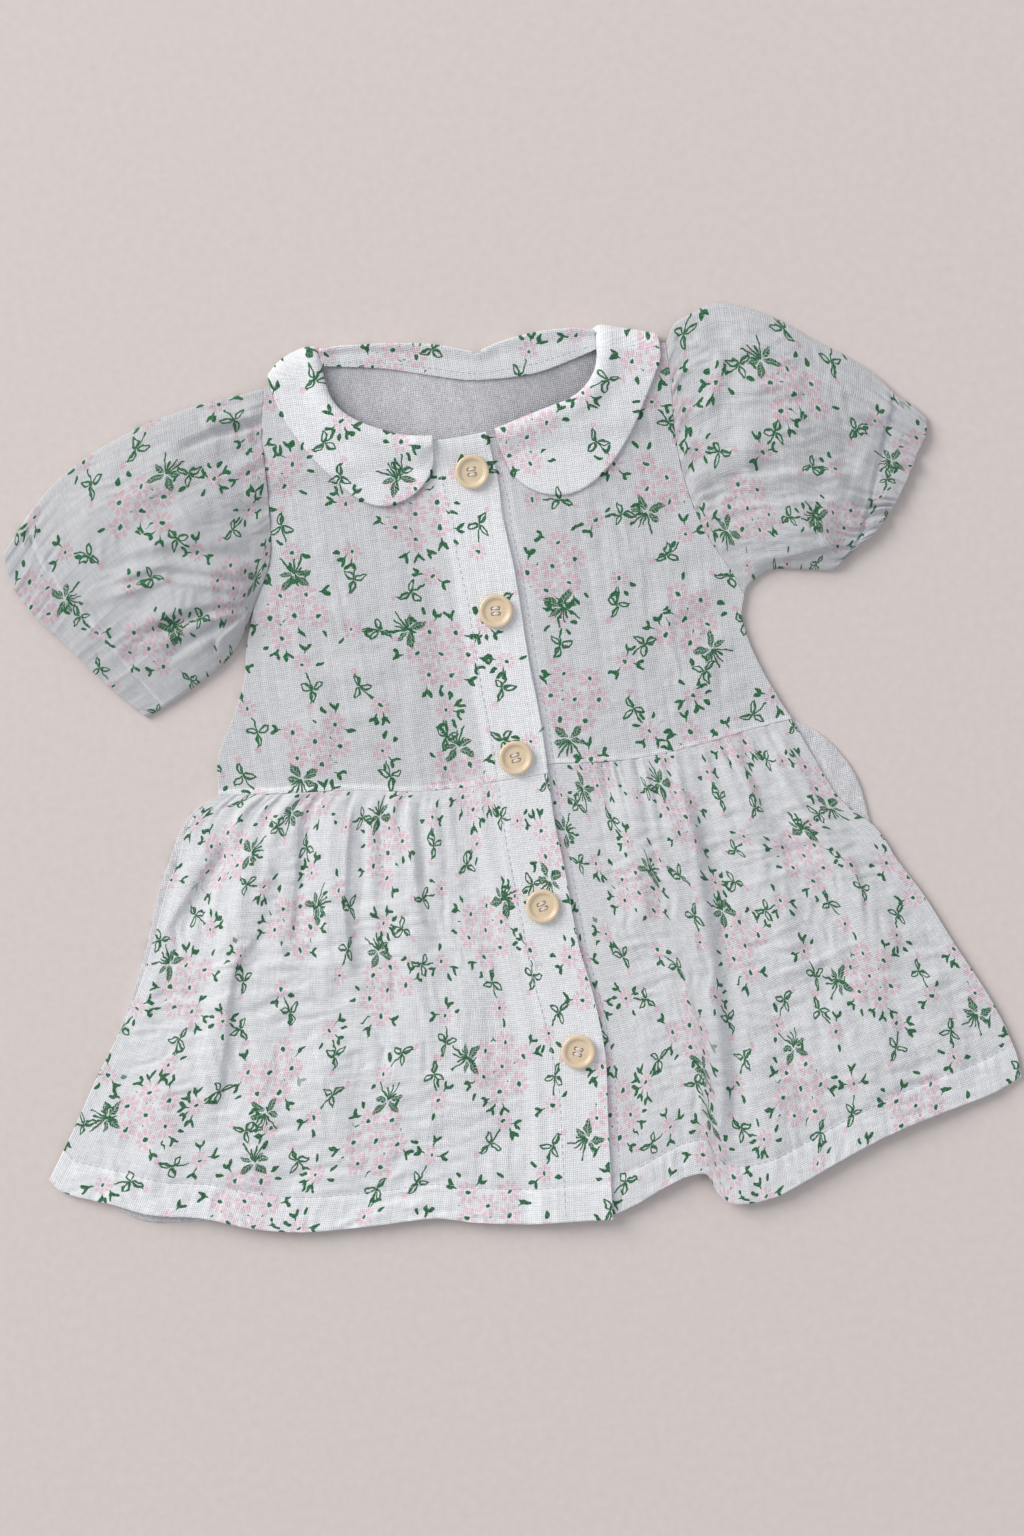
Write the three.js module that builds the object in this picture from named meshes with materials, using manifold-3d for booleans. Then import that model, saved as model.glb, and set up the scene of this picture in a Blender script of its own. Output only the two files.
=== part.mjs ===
// A baby's button-front dress with short puff sleeves and a two-piece Peter Pan collar, cut in
// double gauze and laid flat on its back, buttons up. Millimetres. +Z is up, +Y runs to the neck
// and +X to the wearer's left. While the pieces are drawn, X = 0 and Y = 0 lie on the waist seam
// below the middle button; the last lines move the origin to the middle of the resting face.
import * as THREE from 'three';
import { mergeVertices } from 'three/addons/utils/BufferGeometryUtils.js';
import Module from 'manifold-3d';

// ---------------------------------------------------------------- driving dimensions
const CLOTH = 1.4; // front cloth and sleeve tops, as a wall
const BACK_CLOTH = 1.2; // back layer, which lies pressed on the floor
const PLACKET_CLOTH = 1.8; // the doubled button strips
const COLLAR_CLOTH = 1.3; // the collar leaf
const SEAM = 0.3; // air between two pieces that are sewn or lie together
const PLACKET = 24; // width of each button strip
const COLLAR_GAP = 0.95; // air under the collar leaf, which lies loosely on the front
const LEAF_ROOM = COLLAR_CLOTH + 0.6; // what the collar's rear leaf lifts the back by
const LOFT = 2.6; // how far the front stands off the back midway to each side
const NECK_RISE = 2.2; // extra height of the front at the neck
const BUTTON = { diameter: 15, thick: 2.6, dish: 1.5, hole: 1.5, pitchX: 2.8, pitchY: 2.4 };

const CLOTH_COLOUR = 0xdfe1e3;
const COLLAR_COLOUR = 0xe6e7e8;
const BUTTON_COLOUR = 0xe1c396;

// ---------------------------------------------------------------- pattern points
// Waist seam, from the wearer's right side to the button strip and from the strip to the left.
const WAIST_RIGHT = [[-132, 13], [-99, 9], [-72, 6], [-48, 1.5], [-23, -0.5]];
const WAIST_STRIP = [[-23, -0.5], [-10, 0], [12.5, 0]];
const WAIST_UNDER = [[-12, 1.5], [0, 3], [13, 4], [30, 2]];
const WAIST_LEFT = [[30, 2], [52, 0.5], [80, 2], [102, 5], [122, 7]];
// Free edge of the upper button strip, from the neck to the hem.
const STRIP_EDGE = [
  [9, 152], [11, 130], [10.5, 115], [12, 90], [12, 50], [13, 20], [12.5, 0],
  [12, -20], [13, -40], [14, -75], [17, -100], [18, -126], [15, -152], [10, -197.5],
];
// Shoulder seams, from the neck to the sleeve.
const SHOULDER_RIGHT = [[-60, 197], [-84, 186.5]];
const SHOULDER_LEFT = [[65, 186], [93, 178.5]];
// Armholes from the underarm up, and side seams of the bodice from the waist up.
const ARMHOLE_RIGHT = [[-104, 92], [-93.5, 112], [-90, 138], [-88, 169], [-84, 186.5]];
const ARMHOLE_LEFT = [
  [110, 64], [106.5, 74], [99, 90], [94, 106], [91.5, 123], [91, 141], [92.5, 160], [93, 178.5],
];
const SIDE_RIGHT = [[-132, 13], [-129.5, 30], [-121, 45], [-113.5, 60], [-109.5, 76], [-104, 92]];
const SIDE_LEFT = [[122, 7], [119, 14], [113, 29], [108.5, 45], [107.5, 56], [110, 64]];
// Front neckline of each front, from the button strip to the shoulder.
const NECK_STRIP_RIGHT = [[9, 152], [-2, 151.4], [-13, 151.5]];
const NECK_RIGHT = [
  [-13, 151.5], [-26, 153.3], [-36, 157.5], [-45, 162], [-53, 168.3], [-57.5, 175],
  [-59.5, 183], [-60, 190], [-60, 197],
];
const NECK_STRIP_LEFT = [[-13.5, 150.5], [0, 150.3], [12, 150.3]];
const NECK_LEFT = [
  [12, 150.3], [19, 151.7], [27, 153.6], [41, 156.6], [48, 158.3], [55, 162],
  [61, 168], [64.3, 175.5], [65, 181], [65, 186],
];
// Back neckline, from the right shoulder to the left, lowest at the centre back.
const NECK_BACK = [
  [-60, 197], [-49, 197.3], [-37, 196.5], [-25, 195], [-14, 193], [-4, 190.5], [4, 187.5],
  [10, 185.3], [20, 188], [29, 189.4], [38, 190], [48, 190], [57, 188.7], [65, 186],
];
// Side edges of the skirt fronts, from the hem up, and the hem of each front.
const SKIRT_SIDE_RIGHT = [
  [-232, -142], [-218, -122], [-205, -102], [-192, -84], [-181, -67], [-170, -45],
  [-160, -22], [-154, -13], [-149, -1], [-142, 8], [-132, 13],
];
const SKIRT_SIDE_LEFT = [
  [197, -164], [196.5, -154], [190.5, -132], [176.5, -100], [167.5, -79], [158.5, -62], [151, -46],
  [138, -32], [130, -14], [122, 7],
];
const HEM_RIGHT = [
  [-232, -142], [-228, -147.5], [-206, -157], [-190, -164], [-168, -169], [-145, -177.5],
  [-124, -182], [-93, -184], [-67, -185], [-50, -189.5], [-27, -194],
];
const HEM_STRIP_RIGHT = [[-27, -194], [-10, -195.5], [10, -197.5]];
const HEM_STRIP_LEFT = [[-14, -195], [0, -195.8], [11, -195.6], [22, -192.5]];
const HEM_LEFT = [
  [22, -192.5], [40, -185.5], [47, -184], [53.5, -184.5], [57, -193], [62, -198.5], [71, -200],
  [82, -199], [94, -195], [115, -187], [139, -179], [163, -173.5], [184, -169], [197, -164],
];
// The skirt back shows a sliver past the front at both sides.
const SKIRT_BACK_RIGHT = [
  [-230, -143], [-217, -123], [-204, -103], [-193, -85], [-183, -67], [-173, -46], [-163.5, -22],
  [-158, -12], [-152, -1], [-144, 8], [-132, 13],
];
const SKIRT_BACK_LEFT = [
  [196, -165], [192, -152], [186, -132], [172, -100], [163, -79], [155, -62], [149.5, -45],
  [146, -22], [135, -3], [122, 7],
];
const HEM_BACK = [
  [-230, -143], [-206, -158.5], [-193, -166.5], [-165, -171], [-120, -180], [-60, -183],
  [0, -190], [30, -186], [52, -180], [70, -185], [95, -190], [140, -176.5], [196, -165],
];

// ---------------------------------------------------------------- gathers and folds
// Waist gathers of one front. at: place along the gathered stretch (0 side, 1 strip end),
// high: crest over its valleys, long: how far down the skirt it runs before it fades.
const GATHERS_RIGHT = [
  { at: 0.03, high: 1.5, long: 62 }, { at: 0.1, high: 1.1, long: 34 },
  { at: 0.165, high: 1.7, long: 85 }, { at: 0.24, high: 1.2, long: 30 },
  { at: 0.3, high: 1.5, long: 46 }, { at: 0.375, high: 1.8, long: 72 },
  { at: 0.44, high: 1.1, long: 26 }, { at: 0.51, high: 1.6, long: 88 },
  { at: 0.585, high: 1.3, long: 40 }, { at: 0.65, high: 1.7, long: 60 },
  { at: 0.72, high: 1.2, long: 30 }, { at: 0.785, high: 1.6, long: 76 },
  { at: 0.855, high: 1.2, long: 38 }, { at: 0.92, high: 1.5, long: 54 },
  { at: 0.975, high: 0.9, long: 28 },
];
const GATHERS_LEFT = [
  { at: 0.04, high: 1.1, long: 30 }, { at: 0.115, high: 1.5, long: 52 },
  { at: 0.18, high: 1.2, long: 34 }, { at: 0.26, high: 1.8, long: 90 },
  { at: 0.335, high: 1.3, long: 38 }, { at: 0.41, high: 1.6, long: 66 },
  { at: 0.475, high: 1.1, long: 28 }, { at: 0.55, high: 1.7, long: 80 },
  { at: 0.625, high: 1.3, long: 42 }, { at: 0.7, high: 1.6, long: 58 },
  { at: 0.77, high: 1.2, long: 32 }, { at: 0.84, high: 1.7, long: 74 },
  { at: 0.91, high: 1.3, long: 44 }, { at: 0.97, high: 1.1, long: 30 },
];
// Long folds. path: the crest in plan, high: its rise, before and after: how wide its flanks
// are on the left-hand and the right-hand side of the path.
const FOLDS_RIGHT = [
  { path: [[-118, 4], [-125, -25], [-135, -46], [-149, -92], [-158, -130]], high: 2.6, before: 9, after: 6 },
  { path: [[-132, 2], [-148, -16], [-162, -36], [-176, -60], [-188, -92]], high: 2, before: 6, after: 9 },
  { path: [[-74, 0], [-80, -22], [-86, -45], [-88, -64], [-84, -84]], high: 2.2, before: 5, after: 11 },
  { path: [[-48, -4], [-55, -40], [-60, -90], [-66, -130]], high: 1.6, before: 9, after: 9 },
  { path: [[-100, -95], [-108, -130], [-112, -178]], high: 2, before: 12, after: 14 },
];
const FOLDS_LEFT = [
  { path: [[66, -3], [69, -30], [70, -62], [69, -95], [67, -142], [61, -176], [58, -190]], high: 3, before: 4, after: 24 },
  { path: [[88, -2], [97, -45], [104, -90], [108, -120]], high: 1.8, before: 9, after: 8 },
  { path: [[108, 0], [124, -40], [140, -84], [150, -120]], high: 2.2, before: 9, after: 7 },
  { path: [[48, -4], [46, -40], [42, -84]], high: 1.4, before: 7, after: 7 },
  { path: [[120, -110], [130, -140], [136, -174]], high: 1.8, before: 14, after: 14 },
];
const FOLDS_BODICE = [
  { path: [[-101, 96], [-84, 84], [-62, 80]], high: 1.2, before: 6, after: 7 },
  { path: [[-104, 78], [-88, 60], [-76, 40]], high: 1, before: 6, after: 6 },
  { path: [[104, 76], [86, 66], [66, 64]], high: 1.2, before: 7, after: 6 },
  { path: [[104, 52], [88, 36], [82, 22]], high: 0.9, before: 6, after: 6 },
  { path: [[-62, 20], [-60, 60], [-64, 100]], high: 0.8, before: 9, after: 9 },
  { path: [[56, 20], [58, 60], [54, 96]], high: 0.8, before: 9, after: 9 },
];

// ---------------------------------------------------------------- curves and small maths
const clamp = (t) => Math.min(1, Math.max(0, t));
const smooth = (t) => clamp(t) ** 2 * (3 - 2 * clamp(t));
const lerp = (a, b, t) => a + (b - a) * t;

// A smooth plan curve through points, read by its share of length.
function curve(points) {
  const spline = new THREE.CatmullRomCurve3(
    points.map(([x, y]) => new THREE.Vector3(x, y, 0)), false, 'centripetal');
  spline.arcLengthDivisions = 400;
  return (t) => {
    const p = spline.getPointAt(clamp(t));
    return [p.x, p.y];
  };
}

// An edge made of several curves with a corner between each two. ends: the share of the
// edge at which each curve ends.
function edge(curves, ends) {
  const parts = curves.map(curve);
  return (t) => {
    const k = Math.max(0, ends.findIndex((e) => t <= e + 1e-9));
    const from = k === 0 ? 0 : ends[k - 1];
    return parts[k]((t - from) / (ends[k] - from));
  };
}

// A smooth edge as its straight facets, so that the piece sewn to it meets them evenly.
function faceted(points, shares) {
  const smoothEdge = curve(points);
  const corners = shares.map(smoothEdge);
  return (t) => {
    const k = Math.max(1, shares.findIndex((share) => t <= share + 1e-9));
    const part = (t - shares[k - 1]) / (shares[k] - shares[k - 1]);
    return [0, 1].map((i) => lerp(corners[k - 1][i], corners[k][i], part));
  };
}

const reversed = (points) => [...points].reverse();
const moved = (points, dx, dy) => points.map(([x, y]) => [x + dx, y + dy]);

// The plan of a cloth piece from its four edges: each point is a blend of the edges
// (a Coons patch). u runs along bottom and top, v along left and right.
function planOf({ bottom, top, left, right }) {
  const corner = [bottom(0), bottom(1), top(0), top(1)];
  return (u, v) => [0, 1].map((k) =>
    (1 - v) * bottom(u)[k] + v * top(u)[k] + (1 - u) * left(v)[k] + u * right(v)[k]
    - (1 - u) * (1 - v) * corner[0][k] - u * (1 - v) * corner[1][k]
    - (1 - u) * v * corner[2][k] - u * v * corner[3][k]);
}

// X of an edge at a given Y, read from its points by straight lines.
function xAt(points) {
  const rows = [...points].sort((a, b) => a[1] - b[1]);
  return (y) => {
    if (y <= rows[0][1]) return rows[0][0];
    for (let i = 1; i < rows.length; i += 1) {
      if (y <= rows[i][1]) {
        const t = (y - rows[i - 1][1]) / (rows[i][1] - rows[i - 1][1]);
        return lerp(rows[i - 1][0], rows[i][0], t);
      }
    }
    return rows.at(-1)[0];
  };
}

// Height that long folds add at a plan point: each is a crest that falls away on both flanks
// and dies out at its two ends.
function foldHeight(folds, x, y) {
  let sum = 0;
  for (const { path, high, before, after } of folds) {
    let best = { gap: Infinity, side: 0, along: 0 };
    let run = 0;
    let total = 0;
    for (let i = 1; i < path.length; i += 1) {
      total += Math.hypot(path[i][0] - path[i - 1][0], path[i][1] - path[i - 1][1]);
    }
    for (let i = 1; i < path.length; i += 1) {
      const [ax, ay] = path[i - 1];
      const dx = path[i][0] - ax;
      const dy = path[i][1] - ay;
      const length = Math.hypot(dx, dy);
      const t = clamp(((x - ax) * dx + (y - ay) * dy) / length ** 2);
      const gap = Math.hypot(x - ax - t * dx, y - ay - t * dy);
      if (gap < best.gap) {
        best = { gap, side: dx * (y - ay) - dy * (x - ax), along: (run + t * length) / total };
      }
      run += length;
    }
    const flank = best.side > 0 ? before : after;
    const ends = smooth(best.along / 0.18) * smooth((1 - best.along) / 0.22);
    sum += high * ends * smooth(1 - best.gap / (1.7 * flank));
  }
  return sum;
}

// Height of the waist gathers: crests with valleys midway, lower at the stitching itself,
// each fading down the skirt.
function gatherHeight(gathers, at, down) {
  let i = 0;
  while (i < gathers.length - 1 && at > (gathers[i].at + gathers[i + 1].at) / 2) i += 1;
  const g = gathers[i];
  const low = i === 0 ? 0 : (gathers[i - 1].at + g.at) / 2;
  const high = i === gathers.length - 1 ? 1 : (gathers[i + 1].at + g.at) / 2;
  const off = at < g.at ? (g.at - at) / (g.at - low) : (at - g.at) / (high - g.at);
  const fade = smooth(1 - down / (1.6 * g.long)) * (0.55 + 0.45 * smooth(down / 9));
  return g.high * fade * (0.5 + 0.5 * Math.cos(Math.PI * clamp(off)));
}

// ---------------------------------------------------------------- levels of the layers
const stripX = xAt(STRIP_EDGE);
const rightSideX = xAt([...SKIRT_SIDE_RIGHT, ...SIDE_RIGHT.slice(1), ...ARMHOLE_RIGHT.slice(1),
  ...SHOULDER_RIGHT.slice(0, 1)]);
const leftSideX = xAt([...SKIRT_SIDE_LEFT, ...SIDE_LEFT.slice(1), ...ARMHOLE_LEFT.slice(1),
  ...SHOULDER_LEFT.slice(0, 1)]);

// Underside of the back layer: on the floor, lifted where the collar's rear leaf lies below.
const underBack = (x, y) =>
  LEAF_ROOM * smooth((y - 139) / 10) * smooth((x + 104) / 20) * smooth((113 - x) / 20);

// How far the front stands off the back: nothing at the sides, most midway, less along the
// button strip and the shoulders, and a rise towards the neck.
function loft(x, y) {
  const side = Math.min(x - rightSideX(y), leftSideX(y) - x);
  const middle = stripX(y) - PLACKET / 2;
  const sag = 1.4 * Math.exp(-(((x - middle) / 26) ** 2));
  const body = (LOFT * smooth(side / 50) - sag * smooth(side / 40)) * smooth((203 - y) / 40);
  const neck = Math.hypot((x - 3) / 60, (y - 196) / 43);
  const rise = NECK_RISE * Math.exp(-Math.max(0, neck - 1) * 3.4) * smooth((186 - y) / 25);
  return Math.max(0, body) + rise * smooth((y - 60) / 40);
}

const frontUnder = (x, y) => underBack(x, y) + BACK_CLOTH + SEAM + loft(x, y);

// The under strip is doubled cloth; past its edge the front is a single layer.
const leftCloth = (x, y) => lerp(PLACKET_CLOTH, CLOTH, smooth((x - stripX(y) - 1) / 3));
const rightCloth = (x, y) => lerp(CLOTH, PLACKET_CLOTH, smooth((x - stripX(y) + PLACKET + 3) / 3));
// The upper strip rides over the under strip and comes down beside it.
const rideOver = (x, y) =>
  (PLACKET_CLOTH + SEAM) * smooth((x - stripX(y) + PLACKET + 14) / 8);
// Folds and gathers keep off the button strips.
const clearOfStrip = (x, y) => {
  const off = x - stripX(y);
  return off > 0 ? smooth((off - 6) / 14) : smooth((-off - PLACKET - 9) / 12);
};
const sideEase = (x, y) => smooth(Math.min(x - rightSideX(y), leftSideX(y) - x) / 12);

const bodiceFolds = (x, y) =>
  foldHeight(FOLDS_BODICE, x, y) * clearOfStrip(x, y) * sideEase(x, y);
const rightFrontUnder = (x, y) => frontUnder(x, y) + rideOver(x, y) + bodiceFolds(x, y);
const leftFrontUnder = (x, y) => frontUnder(x, y) + bodiceFolds(x, y);
const rightFrontTop = (x, y) => rightFrontUnder(x, y) + rightCloth(x, y);
const leftFrontTop = (x, y) => leftFrontUnder(x, y) + leftCloth(x, y);

// ---------------------------------------------------------------- solids
// One closed wall from an outer and an inner grid of the same size. around: the rows close
// on themselves, as in a sleeve.
function wall(outer, inner, around = false) {
  const rows = outer.length;
  const cols = outer[0].length;
  const position = [];
  for (const grid of [outer, inner]) {
    for (const row of grid) {
      for (const p of row) position.push(p[0], p[1], p[2]);
    }
  }
  const at = (side, j, i) => side * rows * cols + j * cols + (i % cols);
  const index = [];
  const quad = (a, b, c, d) => index.push(a, b, c, a, c, d);
  const spans = around ? cols : cols - 1;
  for (let j = 0; j < rows - 1; j += 1) {
    for (let i = 0; i < spans; i += 1) {
      quad(at(0, j, i), at(0, j, i + 1), at(0, j + 1, i + 1), at(0, j + 1, i));
      quad(at(1, j, i), at(1, j + 1, i), at(1, j + 1, i + 1), at(1, j, i + 1));
    }
  }
  for (let i = 0; i < spans; i += 1) {
    quad(at(0, 0, i + 1), at(0, 0, i), at(1, 0, i), at(1, 0, i + 1));
    quad(at(0, rows - 1, i), at(0, rows - 1, i + 1), at(1, rows - 1, i + 1), at(1, rows - 1, i));
  }
  if (!around) {
    for (let j = 0; j < rows - 1; j += 1) {
      quad(at(0, j, 0), at(0, j + 1, 0), at(1, j + 1, 0), at(1, j, 0));
      quad(at(0, j + 1, cols - 1), at(0, j, cols - 1), at(1, j, cols - 1), at(1, j + 1, cols - 1));
    }
  }
  return solid(position, index);
}

// Geometry with its faces turned outwards.
function solid(position, index) {
  let volume = 0;
  const p = (k) => new THREE.Vector3().fromArray(position, 3 * k);
  for (let k = 0; k < index.length; k += 3) {
    volume += p(index[k]).dot(p(index[k + 1]).cross(p(index[k + 2])));
  }
  if (volume < 0) {
    for (let k = 0; k < index.length; k += 3) {
      [index[k + 1], index[k + 2]] = [index[k + 2], index[k + 1]];
    }
  }
  const geometry = new THREE.BufferGeometry();
  geometry.setAttribute('position', new THREE.Float32BufferAttribute(position, 3));
  geometry.setIndex(index);
  geometry.computeVertexNormals();
  return geometry;
}

// A panel that lies in plan: its underside and its wall at each plan point give its height.
function panel({ plan, us, vs, under, cloth }) {
  const top = [];
  const bottom = [];
  for (const v of vs) {
    const line = us.map((u) => [u, v, ...plan(u, v)]);
    bottom.push(line.map(([u, w, x, y]) => [x, y, under(x, y, u, w)]));
    top.push(line.map(([u, w, x, y]) => [x, y, under(x, y, u, w) + cloth(x, y)]));
  }
  return wall(top, bottom);
}

const steps = (from, to, count) =>
  Array.from({ length: count + 1 }, (_, i) => lerp(from, to, i / count));

const group = new THREE.Group();
function add(name, geometry, color, roughness = 0.9) {
  const material = new THREE.MeshStandardMaterial({ color, roughness, metalness: 0 });
  const mesh = new THREE.Mesh(geometry, material);
  mesh.name = name;
  group.add(mesh);
  return mesh;
}

// ---------------------------------------------------------------- bodice
const UP = SEAM / 2;
const BODICE_ROWS = [0, 0.05, 0.13, 0.23, 0.34, 0.46, 0.56, 0.65, 0.73, 0.81, 0.88, 0.94, 1];
const ARMHOLE_FROM = 0.46; // share of the side edge at which the underarm lies
const ARMHOLE_SHARES = BODICE_ROWS.filter((v) => v >= ARMHOLE_FROM)
  .map((v) => (v - ARMHOLE_FROM) / (1 - ARMHOLE_FROM));
const bodiceRight = planOf({
  bottom: edge([moved(WAIST_RIGHT, 0, UP), moved(WAIST_STRIP, 0, UP)], [0.72, 1]),
  top: edge([reversed(SHOULDER_RIGHT), reversed(NECK_RIGHT), reversed(NECK_STRIP_RIGHT)],
    [0.26, 0.76, 1]),
  left: edge([moved(SIDE_RIGHT, 0, UP), ARMHOLE_RIGHT], [ARMHOLE_FROM, 1]),
  right: curve(reversed(STRIP_EDGE.slice(0, 7)).map(([x, y]) => [x, y === 0 ? UP : y])),
});
add('bodice_front_right', panel({
  plan: bodiceRight,
  us: [0, 0.04, 0.1, 0.18, 0.26, 0.32, 0.39, 0.46, 0.53, 0.61, 0.7, 0.76, 0.82, 0.88, 0.94, 1],
  vs: BODICE_ROWS,
  under: rightFrontUnder,
  cloth: rightCloth,
}), CLOTH_COLOUR);

const underEdge = STRIP_EDGE.map(([x, y]) => [x - PLACKET, y]);
const bodiceLeft = planOf({
  bottom: edge([moved(WAIST_UNDER, 0, UP), moved(WAIST_LEFT, 0, UP)], [0.3, 1]),
  top: edge([NECK_STRIP_LEFT, NECK_LEFT, SHOULDER_LEFT], [0.24, 0.74, 1]),
  left: curve([[-12, 1.5 + UP], [-11.5, 20], [-12, 50], [-12, 90], [-13, 115], [-13, 130],
    [-13.5, 150.5]]),
  right: edge([moved(SIDE_LEFT, 0, UP), ARMHOLE_LEFT], [ARMHOLE_FROM, 1]),
});
add('bodice_front_left', panel({
  plan: bodiceLeft,
  us: [0, 0.08, 0.16, 0.24, 0.32, 0.4, 0.47, 0.54, 0.61, 0.68, 0.74, 0.82, 0.9, 0.96, 1],
  vs: BODICE_ROWS,
  under: leftFrontUnder,
  cloth: leftCloth,
}), CLOTH_COLOUR);

const bodiceBack = planOf({
  bottom: edge([moved(WAIST_RIGHT, 0, UP), moved([[-23, -0.5], [-6, 0.5], [13, 3], [30, 2]], 0, UP),
    moved(WAIST_LEFT, 0, UP)], [0.42, 0.62, 1]),
  top: edge([reversed(SHOULDER_RIGHT), NECK_BACK, SHOULDER_LEFT], [0.16, 0.84, 1]),
  left: edge([moved(SIDE_RIGHT, 0, UP), ARMHOLE_RIGHT], [ARMHOLE_FROM, 1]),
  right: edge([moved(SIDE_LEFT, 0, UP), ARMHOLE_LEFT], [ARMHOLE_FROM, 1]),
});
add('bodice_back', panel({
  plan: bodiceBack,
  us: [...steps(0, 0.16, 3), ...steps(0.16, 0.84, 14).slice(1), ...steps(0.84, 1, 3).slice(1)],
  vs: [0, 0.23, ...BODICE_ROWS.slice(5)],
  under: underBack,
  cloth: () => BACK_CLOTH,
}), CLOTH_COLOUR);

// Bias facing inside the back neck.
const facing = planOf({
  top: curve([[-54, 196.7], [-40, 196.4], [-25, 194.8], [-14, 192.8], [-4, 190.3], [4, 187.3],
    [10, 185.1], [20, 187.8], [29, 189.2], [38, 189.8], [48, 189.8], [58, 188.2]]),
  bottom: curve([[-54, 190.5], [-30, 186.5], [-6, 179], [5, 176], [17, 174.6], [36, 174.6],
    [48, 177], [59, 179]]),
  left: curve([[-54, 190.5], [-54, 196.7]]),
  right: curve([[59, 179], [58, 188.2]]),
});
add('neck_facing', panel({
  plan: facing,
  us: steps(0, 1, 20),
  vs: [0, 0.5, 1],
  under: (x, y) => underBack(x, y) + BACK_CLOTH + SEAM,
  cloth: () => BACK_CLOTH,
}), CLOTH_COLOUR);

// ---------------------------------------------------------------- skirt
// Skirt fronts: gathered from u = 0 to 0.8 (right) and from 0.2 to 1 (left), flat at the strip.
const SKIRT_LENGTH = 190;
const SKIRT_ROWS = [0, 3, 9, 18, 32, 50, 74, 102, 134, 164, 190].map((d) => 1 - d / SKIRT_LENGTH);
const GATHERED = 0.8;

// Columns through each crest, each valley and the points between them.
function gatherColumns(gathers) {
  const at = [0];
  gathers.forEach((g, i) => {
    const next = i === gathers.length - 1 ? 1 : (g.at + gathers[i + 1].at) / 2;
    const before = at.at(-1);
    at.push((before + g.at) / 2, g.at, (g.at + next) / 2, next);
  });
  return at;
}

function skirtUnder(folds, gathers, at, ride) {
  return (x, y, u, v) => {
    const down = (1 - v) * SKIRT_LENGTH;
    const share = at(u);
    const inside = share >= 0 && share <= 1;
    const gather = inside ? gatherHeight(gathers, share, down) : 0;
    const relief = gather * smooth(Math.min(share, 1 - share) * 30) + foldHeight(folds, x, y);
    const free = clearOfStrip(x, y) * sideEase(x, y);
    return BACK_CLOTH + SEAM + loft(x, y) + ride(x, y) + relief * free;
  };
}

const skirtRight = planOf({
  bottom: edge([HEM_RIGHT, HEM_STRIP_RIGHT], [GATHERED, 1]),
  top: edge([moved(WAIST_RIGHT, 0, -UP), moved(WAIST_STRIP, 0, -UP)], [GATHERED, 1]),
  left: curve(moved(SKIRT_SIDE_RIGHT, 0, -UP)),
  right: curve(reversed(STRIP_EDGE.slice(6)).map(([x, y]) => [x, y - UP])),
});
add('skirt_front_right', panel({
  plan: skirtRight,
  us: [...gatherColumns(GATHERS_RIGHT).map((a) => a * GATHERED), 0.83, 0.865, 0.9, 0.95, 1],
  vs: SKIRT_ROWS.slice().reverse(),
  under: skirtUnder(FOLDS_RIGHT, GATHERS_RIGHT, (u) => u / GATHERED, rideOver),
  cloth: rightCloth,
}), CLOTH_COLOUR);

const skirtLeft = planOf({
  bottom: edge([HEM_STRIP_LEFT, HEM_LEFT], [1 - GATHERED, 1]),
  top: edge([moved(WAIST_UNDER, 0, -UP), moved(WAIST_LEFT, 0, -UP)], [1 - GATHERED, 1]),
  left: curve([[-14, -195], ...reversed(underEdge.slice(8, 13)), [-12, -20], [-12, 1.5 - UP]]),
  right: curve(moved(SKIRT_SIDE_LEFT, 0, -UP)),
});
add('skirt_front_left', panel({
  plan: skirtLeft,
  us: [0, 0.05, 0.1, 0.15, ...gatherColumns(GATHERS_LEFT).map((a) => lerp(1 - GATHERED, 1, a))],
  vs: SKIRT_ROWS.slice().reverse(),
  under: skirtUnder(FOLDS_LEFT, GATHERS_LEFT, (u) => (u - 1 + GATHERED) / GATHERED, () => 0),
  cloth: leftCloth,
}), CLOTH_COLOUR);

const skirtBack = planOf({
  bottom: curve(HEM_BACK),
  top: edge([moved(WAIST_RIGHT, 0, -UP), moved([[-23, -0.5], [-6, 0.5], [13, 3], [30, 2]], 0, -UP),
    moved(WAIST_LEFT, 0, -UP)], [0.42, 0.62, 1]),
  left: curve(moved(SKIRT_BACK_RIGHT, 0, -UP)),
  right: curve(moved(SKIRT_BACK_LEFT, 0, -UP)),
});
add('skirt_back', panel({
  plan: skirtBack,
  us: steps(0, 1, 22),
  vs: steps(0, 1, 10),
  under: () => 0,
  cloth: () => BACK_CLOTH,
}), CLOTH_COLOUR);

// ---------------------------------------------------------------- sleeves
// A sleeve lies as a puffed tube: its lower half on the floor, its upper half standing up
// between the gathered head and the elastic, with a short frill beyond. s runs from the armhole
// to the frill's edge, t from the underarm edge to the top edge.
// PUFF: s, and the height of the hollow at the middle of that section.
const PUFF = [
  { s: 0, high: 0.5 }, { s: 0.08, high: 4.4 }, { s: 0.2, high: 7.6 }, { s: 0.35, high: 10 },
  { s: 0.5, high: 10.2 }, { s: 0.65, high: 7.8 }, { s: 0.77, high: 4.5 }, { s: 0.86, high: 1.9 },
  { s: 0.93, high: 2.6 }, { s: 1, high: 3 },
];
const SLEEVE_STATIONS = [0, 0.03, 0.08, 0.15, 0.24, 0.35, 0.47, 0.59, 0.7, 0.79, 0.86, 0.93, 1];
const HEAD_GATHERS = [0, 0, 0.5, 1, 1.3, 1.2, 1.4, 1]; // crest heights along the armhole
const CUFF_GATHERS = [0.8, 1.2, 1, 1.3, 1.1, 1.3, 1, 0.8]; // crest heights along the elastic
const TURN_IN = 1.3; // wall at the tube's two side folds
const ARMHOLE_GAP = 0.45; // across the armhole seam

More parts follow.
